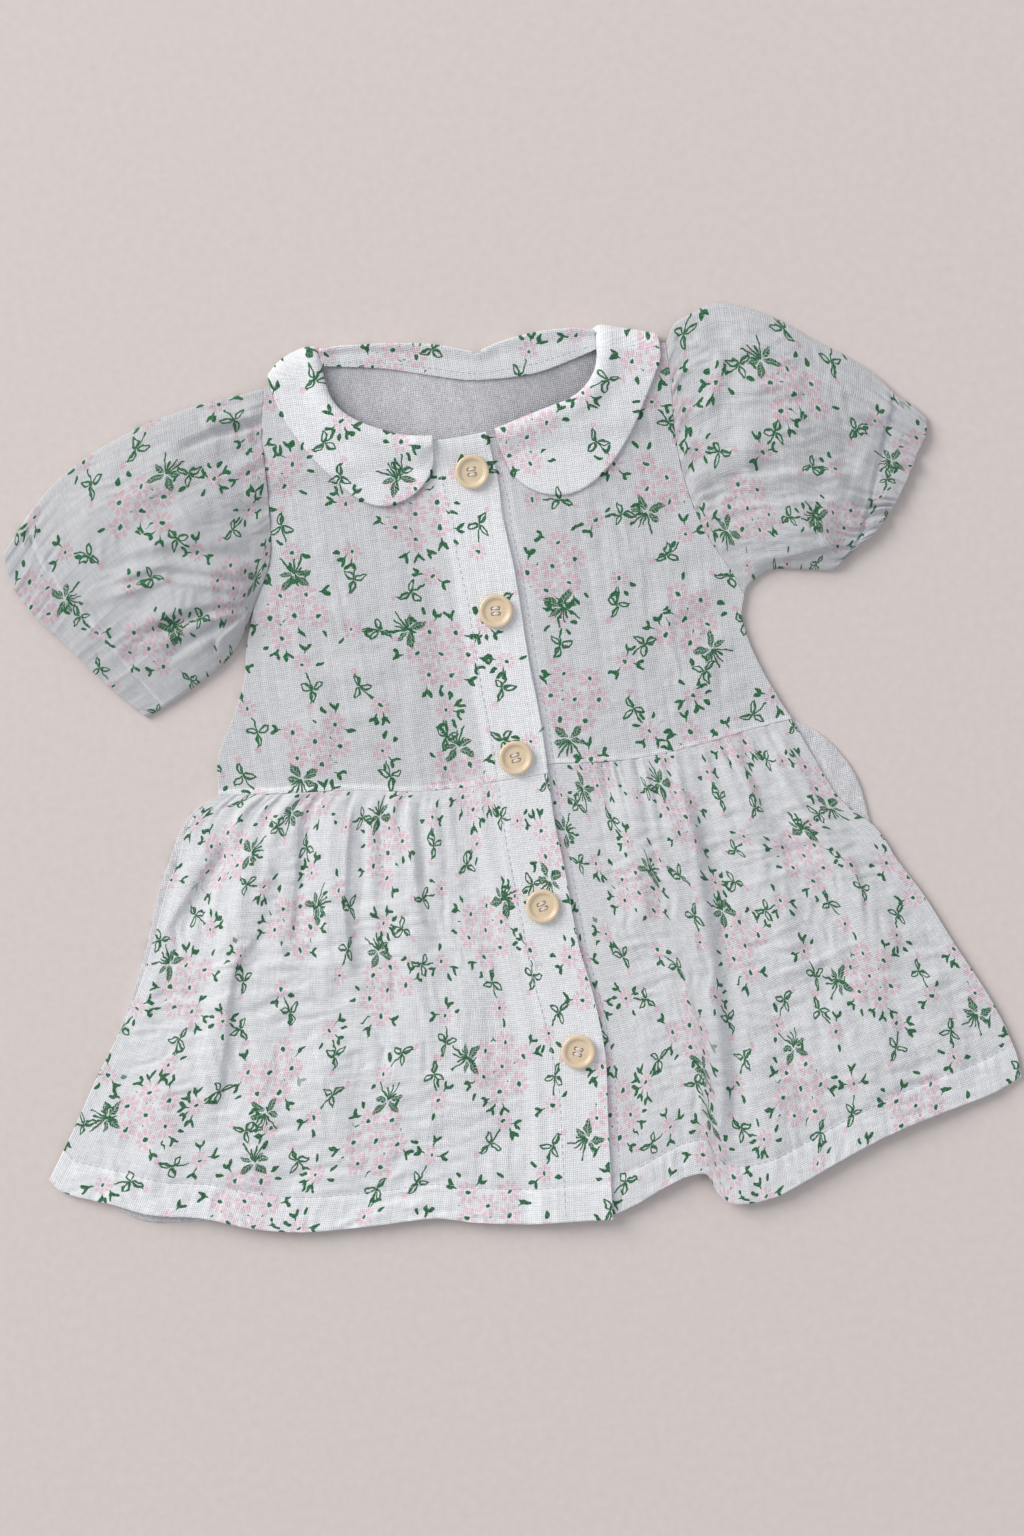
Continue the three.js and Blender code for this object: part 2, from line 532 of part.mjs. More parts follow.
const puffHeight = (s) => {
  const k = Math.max(1, PUFF.findIndex((row) => s <= row.s + 1e-9));
  return lerp(PUFF[k - 1].high, PUFF[k].high,
    smooth((s - PUFF[k - 1].s) / (PUFF[k].s - PUFF[k - 1].s)) * 0.5
    + 0.5 * (s - PUFF[k - 1].s) / (PUFF[k].s - PUFF[k - 1].s));
};

function sleeve({ armhole, away, hem, upper, lower, folds }) {
  const seamLine = faceted(armhole, ARMHOLE_SHARES);
  const plan = planOf({ left: (t) => [seamLine(t)[0] + away, seamLine(t)[1]], right: curve(hem), bottom: curve(lower), top: curve(upper) });
  const crests = (heights, t) => {
    const k = Math.min(heights.length - 1, Math.floor(t * heights.length));
    return heights[k] * (0.5 - 0.5 * Math.cos(2 * Math.PI * t * heights.length));
  };
  const topAt = (s, t) => {
    const [x, y] = plan(s, t);
    const arch = Math.sin(Math.PI * clamp(t)) ** 0.7;
    const head = crests(HEAD_GATHERS, t) * smooth(1 - s / 0.3) * (0.4 + 0.6 * smooth(s / 0.06));
    const cuff = crests(CUFF_GATHERS, t) * smooth((s - 0.62) / 0.2);
    const crease = foldHeight(folds, x, y) * smooth(s / 0.12) * smooth((0.84 - s) / 0.12);
    return underBack(x, y) + BACK_CLOTH + SEAM + CLOTH
      + (puffHeight(s) + head + cuff + crease) * arch;
  };
  const upperT = steps(0, 1, 32);
  const lowerT = steps(0, 1, 8);
  const outer = [];
  const inner = [];
  for (const s of SLEEVE_STATIONS) {
    const ringOut = [];
    const ringIn = [];
    const put = (t, onTop) => {
      const [x, y] = plan(s, t);
      const end = t === 0 || t === 1;
      const z = onTop ? topAt(s, t) - (end ? 0.6 : 0) : underBack(x, y) + (end ? 0.6 : 0);
      ringOut.push([x, y, z]);
      const [ax, ay] = plan(s, 0);
      const [bx, by] = plan(s, 1);
      const inset = TURN_IN / Math.hypot(bx - ax, by - ay);
      const ti = lerp(inset, 1 - inset, t);
      const [ix, iy] = plan(s, ti);
      ringIn.push([ix, iy, onTop ? topAt(s, ti) - CLOTH : underBack(ix, iy) + BACK_CLOTH]);
    };
    lowerT.forEach((t) => put(t, false));
    reversed(upperT).forEach((t) => put(t, true));
    outer.push(ringOut);
    inner.push(ringIn);
  }
  return wall(outer, inner, true);
}

add('sleeve_right', sleeve({
  armhole: ARMHOLE_RIGHT,
  away: -ARMHOLE_GAP,
  hem: [[-158, 52], [-168, 63], [-177, 74], [-188, 89], [-200, 104], [-207, 118], [-209, 133]],
  upper: [[-84.45, 186.5], [-95, 185.5], [-111, 184.5], [-136, 180], [-156, 173.5], [-169, 168],
    [-182, 160], [-194, 149.5], [-203, 139.5], [-209, 133]],
  lower: [[-104.45, 92], [-108.5, 84], [-114, 76], [-122, 69], [-131, 64], [-145, 57], [-158, 52]],
  folds: [
    { path: [[-92, 150], [-120, 140], [-150, 118], [-166, 98]], high: 1.6, before: 8, after: 7 },
    { path: [[-100, 104], [-118, 106], [-140, 98], [-158, 84]], high: 1.8, before: 6, after: 7 },
    { path: [[-96, 176], [-125, 164], [-160, 142], [-180, 124]], high: 1.2, before: 8, after: 8 },
    { path: [[-104, 94], [-120, 90], [-138, 80]], high: 1.2, before: 5, after: 5 },
  ],
}), CLOTH_COLOUR);

add('sleeve_left', sleeve({
  armhole: ARMHOLE_LEFT,
  away: ARMHOLE_GAP,
  hem: [[157, 76], [168, 80], [175, 86], [182, 94], [189, 104], [195, 114], [200, 122], [201, 129]],
  upper: [[93.45, 178.5], [98, 186.5], [106, 190], [117, 193], [128, 190], [144, 181], [159, 169],
    [171, 160.5], [183, 149.5], [191, 139.5], [197, 134], [201, 129]],
  lower: [[110.45, 64], [113, 68], [122, 73], [138, 71], [151, 69], [157, 76]],
  folds: [
    { path: [[112, 132], [132, 122], [152, 112], [168, 104]], high: 2.2, before: 8, after: 6 },
    { path: [[106, 84], [122, 92], [140, 92], [156, 90]], high: 1.6, before: 7, after: 6 },
    { path: [[100, 160], [126, 158], [150, 146], [168, 132]], high: 1.4, before: 8, after: 8 },
    { path: [[98, 176], [112, 168], [120, 156]], high: 1.4, before: 6, after: 6 },
  ],
}), CLOTH_COLOUR);

// ---------------------------------------------------------------- collar
// Each half is one leaf sewn to the neckline. It lies on the front, folds over the shoulder edge
// and lies under the back. One row for each section: seam and edge are its two ends in plan,
// turn is 0 on the front, 90 at the shoulder's edge and 180 under the back.
const COLLAR_RIGHT = [
  { turn: 0, seam: [-14.6, 151.5], edge: [-15.6, 143] },
  { turn: 0, seam: [-17.5, 151.7], edge: [-18.5, 137] },
  { turn: 0, seam: [-22, 152.5], edge: [-24, 131.5] },
  { turn: 0, seam: [-28, 154], edge: [-32, 127.8] },
  { turn: 0, seam: [-35, 157], edge: [-42, 127.2] },
  { turn: 0, seam: [-42, 160.4], edge: [-51, 132] },
  { turn: 0, seam: [-48.5, 164.5], edge: [-60, 142] },
  { turn: 0, seam: [-54, 169.6], edge: [-69, 154.5] },
  { turn: 0, seam: [-57.9, 176.3], edge: [-76.5, 169] },
  { turn: 0, seam: [-59.6, 184], edge: [-80, 179.5] },
  { turn: 0, seam: [-60, 191], edge: [-81, 184.5] },
  { turn: 40, seam: [-60, 195], edge: [-80.8, 187] },
  { turn: 90, seam: [-59.7, 197], edge: [-79.8, 188.4] },
  { turn: 150, seam: [-58.6, 198], edge: [-79.2, 187.6] },
  { turn: 180, seam: [-56.5, 197.9], edge: [-77.5, 181] },
  { turn: 180, seam: [-50, 197.9], edge: [-72, 171.5] },
  { turn: 180, seam: [-40, 196.8], edge: [-60, 165] },
  { turn: 180, seam: [-28, 195.4], edge: [-43, 161] },
  { turn: 180, seam: [-16, 193.4], edge: [-25, 159] },
  { turn: 180, seam: [-5, 190.8], edge: [-8.5, 158.5] },
  { turn: 180, seam: [3.5, 187.7], edge: [3.4, 161] },
  { turn: 180, seam: [7.2, 186.4], edge: [7.6, 166] },
  { turn: 180, seam: [8.8, 185.8], edge: [9, 173] },
];
const COLLAR_LEFT = [
  { turn: 0, seam: [13.2, 150.4], edge: [14.4, 142] },
  { turn: 0, seam: [16, 150.9], edge: [17, 134] },
  { turn: 0, seam: [20.5, 152], edge: [21, 127.5] },
  { turn: 0, seam: [26.5, 153.4], edge: [28.5, 122] },
  { turn: 0, seam: [33.5, 155], edge: [38, 119.6] },
  { turn: 0, seam: [40.5, 156.5], edge: [47.5, 121] },
  { turn: 0, seam: [47.3, 158.1], edge: [57, 126.5] },
  { turn: 0, seam: [53.5, 161], edge: [65.5, 134.5] },
  { turn: 0, seam: [58.6, 165.3], edge: [74, 145.5] },
  { turn: 0, seam: [62.4, 170.6], edge: [82, 158.5] },
  { turn: 0, seam: [64.4, 176.4], edge: [88.6, 170] },
  { turn: 0, seam: [65, 181], edge: [90, 175] },
  { turn: 40, seam: [65, 184], edge: [89.6, 178] },
  { turn: 90, seam: [64.9, 186.6], edge: [88.5, 179.7] },
  { turn: 150, seam: [64, 187.9], edge: [87.4, 179.2] },
  { turn: 180, seam: [61.4, 188.2], edge: [85, 172] },
  { turn: 180, seam: [56, 189.6], edge: [77.5, 163] },
  { turn: 180, seam: [47, 190], edge: [64.5, 157] },
  { turn: 180, seam: [37, 190], edge: [49.5, 153.5] },
  { turn: 180, seam: [27, 189.1], edge: [34, 153.5] },
  { turn: 180, seam: [18.5, 187.6], edge: [20.5, 156] },
  { turn: 180, seam: [14.2, 186.4], edge: [14.8, 162] },
  { turn: 180, seam: [12.4, 185.9], edge: [12.4, 169] },
];
// The leaf's section from the seam out. along: from the neckline, front and back: height of the
// middle of the wall over the cloth it lies on, where it lies on the front and under the back.
const ON_FRONT = COLLAR_GAP + COLLAR_CLOTH / 2;
const UNDER_BACK = LEAF_ROOM - COLLAR_CLOTH / 2;
const ROLL = [
  { along: -1.6, front: -0.8, back: -2.3 }, { along: -1.9, front: 0.7, back: -0.8 },
  { along: -1.4, front: 2, back: 0.6 }, { along: 0.4, front: 3.1, back: UNDER_BACK },
  { along: 3.4, front: 3.1, back: UNDER_BACK }, { along: 6.6, front: 2.1, back: UNDER_BACK },
  { along: 10.5, front: 1.55, back: UNDER_BACK },
];
const LEAF = [0.36, 0.68, 1]; // further points, as shares of the way to the outer edge

// fold: how far the soft fold stands beyond the shoulder's edge, at its ends and its middle.
function collar(rows, frontTop, outwards, fold) {
  const middle = rows.map(({ turn, seam, edge: rim }) => {
    const length = Math.hypot(rim[0] - seam[0], rim[1] - seam[1]);
    const squeeze = Math.min(1, length / 20);
    const roll = ROLL.map((r) => ({ ...r, along: r.along > 0 ? r.along * squeeze : r.along }));
    const last = roll.at(-1).along;
    const leaf = LEAF.map((f) => (
      { along: lerp(last, length, f), front: ON_FRONT, back: UNDER_BACK }));
    const angle = THREE.MathUtils.degToRad(turn);
    const onTop = (1 + Math.cos(angle)) / 2;
    return [...roll, ...leaf].map(({ along, front, back }) => {
      const share = along / length;
      const height = lerp(back, front, turn === 0 ? 1 : onTop);
      const bulge = fold.ends + fold.middle * Math.sin(Math.PI * clamp(share));
      const out = Math.sin(angle) * (height + bulge);
      const x = lerp(seam[0], rim[0], share);
      const y = lerp(seam[1], rim[1], share);
      const z = lerp(underBack(x, y) - height, frontTop(x, y) + height, onTop);
      return new THREE.Vector3(x + outwards[0] * out, y + outwards[1] * out, z);
    });
  });
  const outer = [];
  const inner = [];
  middle.forEach((row, j) => {
    const before = middle[Math.max(0, j - 1)];
    const after = middle[Math.min(middle.length - 1, j + 1)];
    const normals = row.map((_, i) => {
      const across = row[Math.min(row.length - 1, i + 1)].clone().sub(row[Math.max(0, i - 1)]);
      return after[i].clone().sub(before[i]).cross(across).normalize();
    });
    const side = (sign) => row.map((p, i) =>
      p.clone().addScaledVector(normals[i], sign * COLLAR_CLOTH / 2).toArray());
    outer.push(side(1));
    inner.push(side(-1));
  });
  return wall(outer, inner);
}

add('collar_right', collar(COLLAR_RIGHT, rightFrontTop, [-0.4, 0.917],
  { ends: 2.2, middle: 3 }), COLLAR_COLOUR);
add('collar_left', collar(COLLAR_LEFT, leftFrontTop, [0.259, 0.966],
  { ends: 2, middle: 0.5 }), COLLAR_COLOUR);

// ---------------------------------------------------------------- buttons
const wasm = await Module();
wasm.setup();

function toManifold(geometry) {
  const bare = geometry.clone();
  bare.deleteAttribute('normal');
  bare.deleteAttribute('uv');
  const merged = mergeVertices(bare, 1e-4);
  return new wasm.Manifold(new wasm.Mesh({
    numProp: 3,
    vertProperties: new Float32Array(merged.attributes.position.array),
    triVerts: new Uint32Array(merged.index.array),
  }));
}

function fromManifold(body) {
  const mesh = body.getMesh();
  const geometry = new THREE.BufferGeometry();
  geometry.setAttribute('position', new THREE.Float32BufferAttribute(mesh.vertProperties, 3));
  geometry.setIndex(new THREE.Uint32BufferAttribute(mesh.triVerts, 1));
  geometry.computeVertexNormals();
  return geometry;
}

// A turned button: raised rim, dished face, four sewing holes.
function buttonGeometry() {
  const r = BUTTON.diameter / 2;
  const profile = [
    [0, 0], [r - 2, 0], [r - 0.4, 0.8], [r, BUTTON.thick * 0.6], [r - 0.6, BUTTON.thick],
    [r - 1.5, BUTTON.thick], [r - 2.6, BUTTON.dish], [0, BUTTON.dish],
  ].map(([x, z]) => new THREE.Vector2(x, z));
  const disc = new THREE.LatheGeometry(profile, 20).rotateX(Math.PI / 2);
  let body = toManifold(disc);
  for (const sx of [-1, 1]) {
    for (const sy of [-1, 1]) {
      const hole = new THREE.CylinderGeometry(BUTTON.hole / 2, BUTTON.hole / 2, 6, 8);
      hole.rotateX(Math.PI / 2).translate(sx * BUTTON.pitchX / 2, sy * BUTTON.pitchY / 2, 1);
      body = body.subtract(toManifold(hole));
    }
  }
  return fromManifold(body);
}

// Where each button's middle sits, from the neck down, and how far it leans back.
const BUTTONS = [
  { name: 'button_1', x: 0.2, y: 135.7, lean: 5 },
  { name: 'button_2', x: 1, y: 73.8, lean: 0 },
  { name: 'button_3', x: -0.5, y: 9, lean: 0 },
  { name: 'button_4', x: 1, y: -57, lean: 0 },
  { name: 'button_5', x: 6.4, y: -122.4, lean: 0 },
];
const skirtRightTop = (x, y) =>
  BACK_CLOTH + SEAM + loft(x, y) + rideOver(x, y) + rightCloth(x, y);
for (const { name, x, y, lean } of BUTTONS) {
  const mesh = add(name, buttonGeometry(), BUTTON_COLOUR, 0.25);
  const top = y > 0 ? rightFrontTop : skirtRightTop;
  const reach = BUTTON.diameter / 2;
  const seat = Math.max(top(x, y), top(x, y + reach), top(x, y - reach), top(x + reach, y), top(x - reach, y));
  mesh.position.set(x, y, (lean ? top(x, y) + 0.25 : seat) + SEAM);
  mesh.rotation.x = THREE.MathUtils.degToRad(lean);
}

// ---------------------------------------------------------------- frame
// The origin moves to the middle of the resting face's outline.
const box = new THREE.Box3().setFromObject(group);
const centre = box.getCenter(new THREE.Vector3());
group.position.set(-centre.x, -centre.y, -box.min.z);
group.updateMatrixWorld(true);

export default group;
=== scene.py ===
# %% [markdown]
# # A baby's button-front dress, laid flat
#
# The dress lies on its back with its buttons up: two fronts that lap at a button strip, a plain
# back, a gathered skirt, two puff sleeves with an elastic in the cuff, and a Peter Pan collar in
# two halves. It is cut in printed double gauze, which is two thin muslins woven together.
#
# The CAD model holds the true size and place of every piece. This script gives each piece its
# real surface: the same panels are worked out again on a fine grid with numpy, the creases and
# the crinkle of the gauze are added, and the print is drawn by shader nodes.

import math

import bpy
import numpy as np
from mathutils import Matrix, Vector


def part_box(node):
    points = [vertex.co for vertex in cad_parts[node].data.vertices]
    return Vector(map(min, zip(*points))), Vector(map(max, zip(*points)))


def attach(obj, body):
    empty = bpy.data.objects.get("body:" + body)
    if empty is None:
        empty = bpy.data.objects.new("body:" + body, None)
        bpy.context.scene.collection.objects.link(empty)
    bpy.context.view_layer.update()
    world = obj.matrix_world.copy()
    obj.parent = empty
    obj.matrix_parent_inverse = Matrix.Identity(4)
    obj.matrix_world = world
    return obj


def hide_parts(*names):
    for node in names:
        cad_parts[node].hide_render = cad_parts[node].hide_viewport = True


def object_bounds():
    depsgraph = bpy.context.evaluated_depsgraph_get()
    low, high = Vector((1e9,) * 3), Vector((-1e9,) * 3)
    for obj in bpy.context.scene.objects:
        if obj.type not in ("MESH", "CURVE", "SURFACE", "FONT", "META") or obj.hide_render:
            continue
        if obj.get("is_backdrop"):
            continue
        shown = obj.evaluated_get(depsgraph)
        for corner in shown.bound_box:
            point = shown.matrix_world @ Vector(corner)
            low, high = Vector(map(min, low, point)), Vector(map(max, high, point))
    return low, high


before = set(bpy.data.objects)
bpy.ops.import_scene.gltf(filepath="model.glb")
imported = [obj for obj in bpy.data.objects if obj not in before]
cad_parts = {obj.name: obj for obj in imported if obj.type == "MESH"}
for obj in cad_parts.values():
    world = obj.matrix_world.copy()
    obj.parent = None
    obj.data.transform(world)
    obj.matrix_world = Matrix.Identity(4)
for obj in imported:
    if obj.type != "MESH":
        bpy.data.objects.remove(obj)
CAD_BOX = [list(corner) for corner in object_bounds()]
print("CAD box in mm:", [[round(c * 1000, 1) for c in corner] for corner in CAD_BOX])

# %% [markdown]
# ## Sizes
#
# A dressmaker works in millimetres from the waist seam, so this script does too, and turns
# points into metres only when a mesh is made. The middle button lies just above the waist seam,
# so its place in the CAD model says where the waist is.

# %% Sizes of the cloth and the strips
MM = 0.001
CLOTH = 1.4          # front cloth and sleeve tops, as the solids have it
BACK_CLOTH = 1.2     # the back layer
PLACKET_CLOTH = 1.8  # the doubled button strips
COLLAR_CLOTH = 1.3   # two layers of one collar leaf
SEAM = 0.3           # air between layers
JOIN = 0.03          # what is left of it where two pieces are sewn, so that a seam reads closed
PLACKET = 24         # width of a button strip
COLLAR_GAP = 0.95    # air between the collar and the front
LEAF_ROOM = COLLAR_CLOTH + 0.6    # how far the back is lifted by the leaf folded under it
LOFT = 2.6           # how far the front stands off the back
NECK_RISE = 2.2      # how much further it stands round the neck
SKIRT_LENGTH = 190
HEM = 15
GATHERED = 0.8       # share of a skirt front's width that is gathered
FINE = 1.0
MIDDLE_BUTTON = np.array([-0.5, 9.0])
low, high = (np.array(c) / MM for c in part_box("button_3"))
ORIGIN = ((low + high) / 2)[:2] - MIDDLE_BUTTON
print("the waist point lies at", ORIGIN.round(2), "mm")

# %% Pattern points, in millimetres from the waist point
WAIST_RIGHT = [[-132, 13], [-99, 9], [-72, 6], [-48, 1.5], [-23, -0.5]]
WAIST_STRIP = [[-23, -0.5], [-10, 0], [12.5, 0]]
WAIST_UNDER = [[-12, 1.5], [0, 3], [13, 4], [30, 2]]
WAIST_BACK = [[-23, -0.5], [-6, 0.5], [13, 3], [30, 2]]
WAIST_LEFT = [[30, 2], [52, 0.5], [80, 2], [102, 5], [122, 7]]
STRIP_EDGE = [
    [9, 152], [11, 130], [10.5, 115], [12, 90], [12, 50], [13, 20], [12.5, 0],
    [12, -20], [13, -40], [14, -75], [17, -100], [18, -126], [15, -152], [10, -197.5]]
SHOULDER_RIGHT = [[-60, 197], [-84, 186.5]]
SHOULDER_LEFT = [[65, 186], [93, 178.5]]
ARMHOLE_RIGHT = [[-104, 92], [-93.5, 112], [-90, 138], [-88, 169], [-84, 186.5]]
ARMHOLE_LEFT = [[110, 64], [106.5, 74], [99, 90], [94, 106], [91.5, 123], [91, 141],
                [92.5, 160], [93, 178.5]]
SIDE_RIGHT = [[-132, 13], [-129.5, 30], [-121, 45], [-113.5, 60], [-109.5, 76], [-104, 92]]
SIDE_LEFT = [[122, 7], [119, 14], [113, 29], [108.5, 45], [107.5, 56], [110, 64]]
NECK_STRIP_RIGHT = [[9, 152], [-2, 151.4], [-13, 151.5]]
NECK_RIGHT = [[-13, 151.5], [-26, 153.3], [-36, 157.5], [-45, 162], [-53, 168.3],
              [-57.5, 175], [-59.5, 183], [-60, 190], [-60, 197]]
NECK_STRIP_LEFT = [[-13.5, 150.5], [0, 150.3], [12, 150.3]]
NECK_LEFT = [[12, 150.3], [19, 151.7], [27, 153.6], [41, 156.6], [48, 158.3], [55, 162],
             [61, 168], [64.3, 175.5], [65, 181], [65, 186]]
NECK_BACK = [[-60, 197], [-49, 197.3], [-37, 196.5], [-25, 195], [-14, 193], [-4, 190.5],
             [4, 187.5], [10, 185.3], [20, 188], [29, 189.4], [38, 190], [48, 190],
             [57, 188.7], [65, 186]]
SKIRT_SIDE_RIGHT = [[-232, -142], [-218, -122], [-205, -102], [-192, -84], [-181, -67],
                    [-170, -45], [-160, -22], [-154, -13], [-149, -1], [-142, 8], [-132, 13]]
SKIRT_SIDE_LEFT = [[197, -164], [196.5, -154], [190.5, -132], [176.5, -100], [167.5, -79],
                   [158.5, -62], [151, -46], [138, -32], [130, -14], [122, 7]]
HEM_RIGHT = [[-232, -142], [-228, -147.5], [-206, -157], [-190, -164], [-168, -169],
             [-145, -177.5], [-124, -182], [-93, -184], [-67, -185], [-50, -189.5], [-27, -194]]
HEM_STRIP_RIGHT = [[-27, -194], [-10, -195.5], [10, -197.5]]
HEM_STRIP_LEFT = [[-14, -195], [0, -195.8], [11, -195.6], [22, -192.5]]
HEM_LEFT = [[22, -192.5], [40, -185.5], [47, -184], [53.5, -184.5], [57, -193], [62, -198.5],
            [71, -200], [82, -199], [94, -195], [115, -187], [139, -179], [163, -173.5],
            [184, -169], [197, -164]]
SKIRT_BACK_RIGHT = [[-230, -143], [-217, -123], [-204, -103], [-193, -85], [-183, -67],
                    [-173, -46], [-163.5, -22], [-158, -12], [-152, -1], [-144, 8], [-132, 13]]
SKIRT_BACK_LEFT = [[196, -165], [192, -152], [186, -132], [172, -100], [163, -79], [155, -62],
                   [149.5, -45], [146, -22], [135, -3], [122, 7]]
HEM_BACK = [[-230, -143], [-206, -158.5], [-193, -166.5], [-165, -171], [-120, -180],
            [-60, -183], [0, -190], [30, -186], [52, -180], [70, -185], [95, -190],
            [140, -176.5], [196, -165]]

# %% [markdown]
# ## Curves and panels
#
# Every cut edge is a smooth curve through a few pattern points. A panel is then filled in from
# its four edges with a Coons patch, the blend that a sail or a car body is drawn with: it needs
# no modelling by hand, and the two directions of its grid follow the cloth's own edges, so
# gathers and stitches can later run along them.

# %% Curves through points
def lerp(a, b, t):
    """a at t = 0, b at t = 1, and a straight line between."""
    return a + (b - a) * t


def smooth(t):
    """0 below 0, 1 above 1, and an S-shaped step 3t^2 - 2t^3 between."""
    t = np.clip(t, 0, 1)
    return t * t * (3 - 2 * t)


def run_of(line):
    """Distance from a line's start to each of its points: the sum of the steps so far."""
    return np.concatenate([[0], np.cumsum(np.linalg.norm(np.diff(line, axis=0), axis=1))])


def read_at(line, run, where):
    """Points of a line at given distances from its start, on straight steps."""
    return np.stack([np.interp(where, run, line[:, k]) for k in range(line.shape[1])], axis=-1)


def curve(points):
    """A centripetal Catmull-Rom curve through points, read by its share of length."""
    p = np.array(points, float)
    p = np.vstack([2 * p[0] - p[1], p, 2 * p[-1] - p[-2]])
    p0, p1, p2, p3 = p[:-3, None], p[1:-2, None], p[2:-1, None], p[3:, None]
    d0, d1, d2 = (np.linalg.norm(b - a, axis=2, keepdims=True) ** 0.5
                  for a, b in ((p0, p1), (p1, p2), (p2, p3)))
    m1 = ((p1 - p0) / d0 - (p2 - p0) / (d0 + d1) + (p2 - p1) / d1) * d1
    m2 = ((p2 - p1) / d1 - (p3 - p1) / (d1 + d2) + (p3 - p2) / d2) * d1
    t = np.linspace(0, 1, 60)[None, :, None]
    body = ((2 * t**3 - 3 * t**2 + 1) * p1 + (t**3 - 2 * t**2 + t) * m1
            + (3 * t**2 - 2 * t**3) * p2 + (t**3 - t**2) * m2).reshape(-1, p.shape[1])
    run = run_of(body)

    def at(share):
        return read_at(body, run, np.asarray(share, float) * run[-1])
    at.length = run[-1]
    return at


def edge(curves, ends):
    """Several curves with corners between them; ends are the shares where each one stops."""
    parts = [curve(c) for c in curves]
    starts = [0, *ends[:-1]]

    def at(share):
        share = np.asarray(share, float)
        k = np.clip(np.searchsorted(ends, share - 1e-9), 0, len(parts) - 1)
        out = np.zeros(share.shape + (2,))
        for i, part in enumerate(parts):
            here = k == i
            out[here] = part((share[here] - starts[i]) / (ends[i] - starts[i]))
        return out
    return at


# %% Panels between edges
def moved(points, dx, dy):
    """The same points, each shifted by dx and dy."""
    return [[x + dx, y + dy] for x, y in points]


def panel_plan(bottom, top, left, right):
    """Coons patch: the blend of bottom and top, plus that of left and right, less the corners."""
    def plan(u, v):
        u, v = np.asarray(u, float), np.asarray(v, float)
        b, t = bottom(u)[None], top(u)[None]
        e, r = left(v)[:, None], right(v)[:, None]
        c = [f(np.array([s]))[0] for f, s in ((bottom, 0), (bottom, 1), (top, 0), (top, 1))]
        u, v = u[None, :, None], v[:, None, None]
        return ((1 - v) * b + v * t + (1 - u) * e + u * r
                - (1 - u) * (1 - v) * c[0] - u * (1 - v) * c[1]
                - (1 - u) * v * c[2] - u * v * c[3])
    return plan


def x_at(points):
    """X of an edge at a given Y, by straight lines between its points."""
    rows = np.array(sorted(points, key=lambda p: p[1]), float)
    return lambda y: np.interp(y, rows[:, 1], rows[:, 0])


waist_length = curve(WAIST_RIGHT).length + curve(WAIST_BACK).length + curve(WAIST_LEFT).length
print("waist seam", round(waist_length), "mm across")

# %% [markdown]
# ## How the layers lie
#
# The back lies on the floor, lifted a little where the collar's rear leaf is folded under it.
# The front stands off the back, least at the side seams and along the button strip. The upper
# strip rides over the under strip. These few functions of the plan point are the same ones as
# in the CAD model, so that every fine surface sits where its solid does.

# %% Heights of the layers
strip_x = x_at(STRIP_EDGE)
waist_y = lambda x: np.interp(x, *np.array(WAIST_RIGHT + WAIST_BACK + WAIST_LEFT).T)
right_side_x = x_at(SKIRT_SIDE_RIGHT + SIDE_RIGHT[1:] + ARMHOLE_RIGHT[1:] + SHOULDER_RIGHT[:1])
left_side_x = x_at(SKIRT_SIDE_LEFT + SIDE_LEFT[1:] + ARMHOLE_LEFT[1:] + SHOULDER_LEFT[:1])


def under_back(x, y):
    """Underside of the back: raised by the leaf's room at the shoulders, over S-shaped steps."""
    return LEAF_ROOM * smooth((y - 139) / 10) * smooth((x + 104) / 20) * smooth((113 - x) / 20)


def to_side(x, y):
    """Distance from the nearer side edge, along X."""
    return np.minimum(x - right_side_x(y), left_side_x(y) - x)


def loft(x, y):
    """The front's height over the back: an S-shaped rise from both sides, less a bell-shaped sag
    along the strip, plus a swell that dies away round the neck."""
    side = to_side(x, y)
    sag = 1.4 * np.exp(-(((x - strip_x(y) + PLACKET / 2) / 26) ** 2))
    body = (LOFT * smooth(side / 50) - sag * smooth(side / 40)) * smooth((203 - y) / 40)
    neck = np.hypot((x - 3) / 60, (y - 196) / 43)
    rise = NECK_RISE * np.exp(-np.maximum(0, neck - 1) * 3.4) * smooth((186 - y) / 25)
    return np.maximum(0, body) + rise * smooth((y - 60) / 40)


def ride_over(x, y):
    """The right front climbs over the left strip: one strip's thickness and one gap."""
    return (PLACKET_CLOTH + SEAM) * smooth((x - strip_x(y) + PLACKET + 14) / 8)


def left_cloth(x, y):
    """Thickness of the left front, from the doubled strip to the single cloth."""
    return lerp(PLACKET_CLOTH, CLOTH, smooth((x - strip_x(y) - 1) / 3))


def right_cloth(x, y):
    """Thickness of the right front, from the single cloth to the doubled strip."""
    return lerp(CLOTH, PLACKET_CLOTH, smooth((x - strip_x(y) + PLACKET + 3) / 3))


def clear_of_strip(x, y):
    """1 away from the button strips and 0 on them, where the layers lie tight."""
    off = x - strip_x(y)
    return np.where(off > 0, smooth((off - 6) / 14), smooth((-off - PLACKET - 9) / 12))


# %% [markdown]
# ## Folds, gathers and crinkle
#
# Cloth could be simulated, but a laid-out dress shows folds that a hand made, and a simulation
# would not put them in their places. So each fold is a row in a table: the path of its crest,
# its height, and how wide it is on either flank. The waist gathers are a second table, and the
# gauze's own crinkle is soft seeded noise, stretched along the threads.

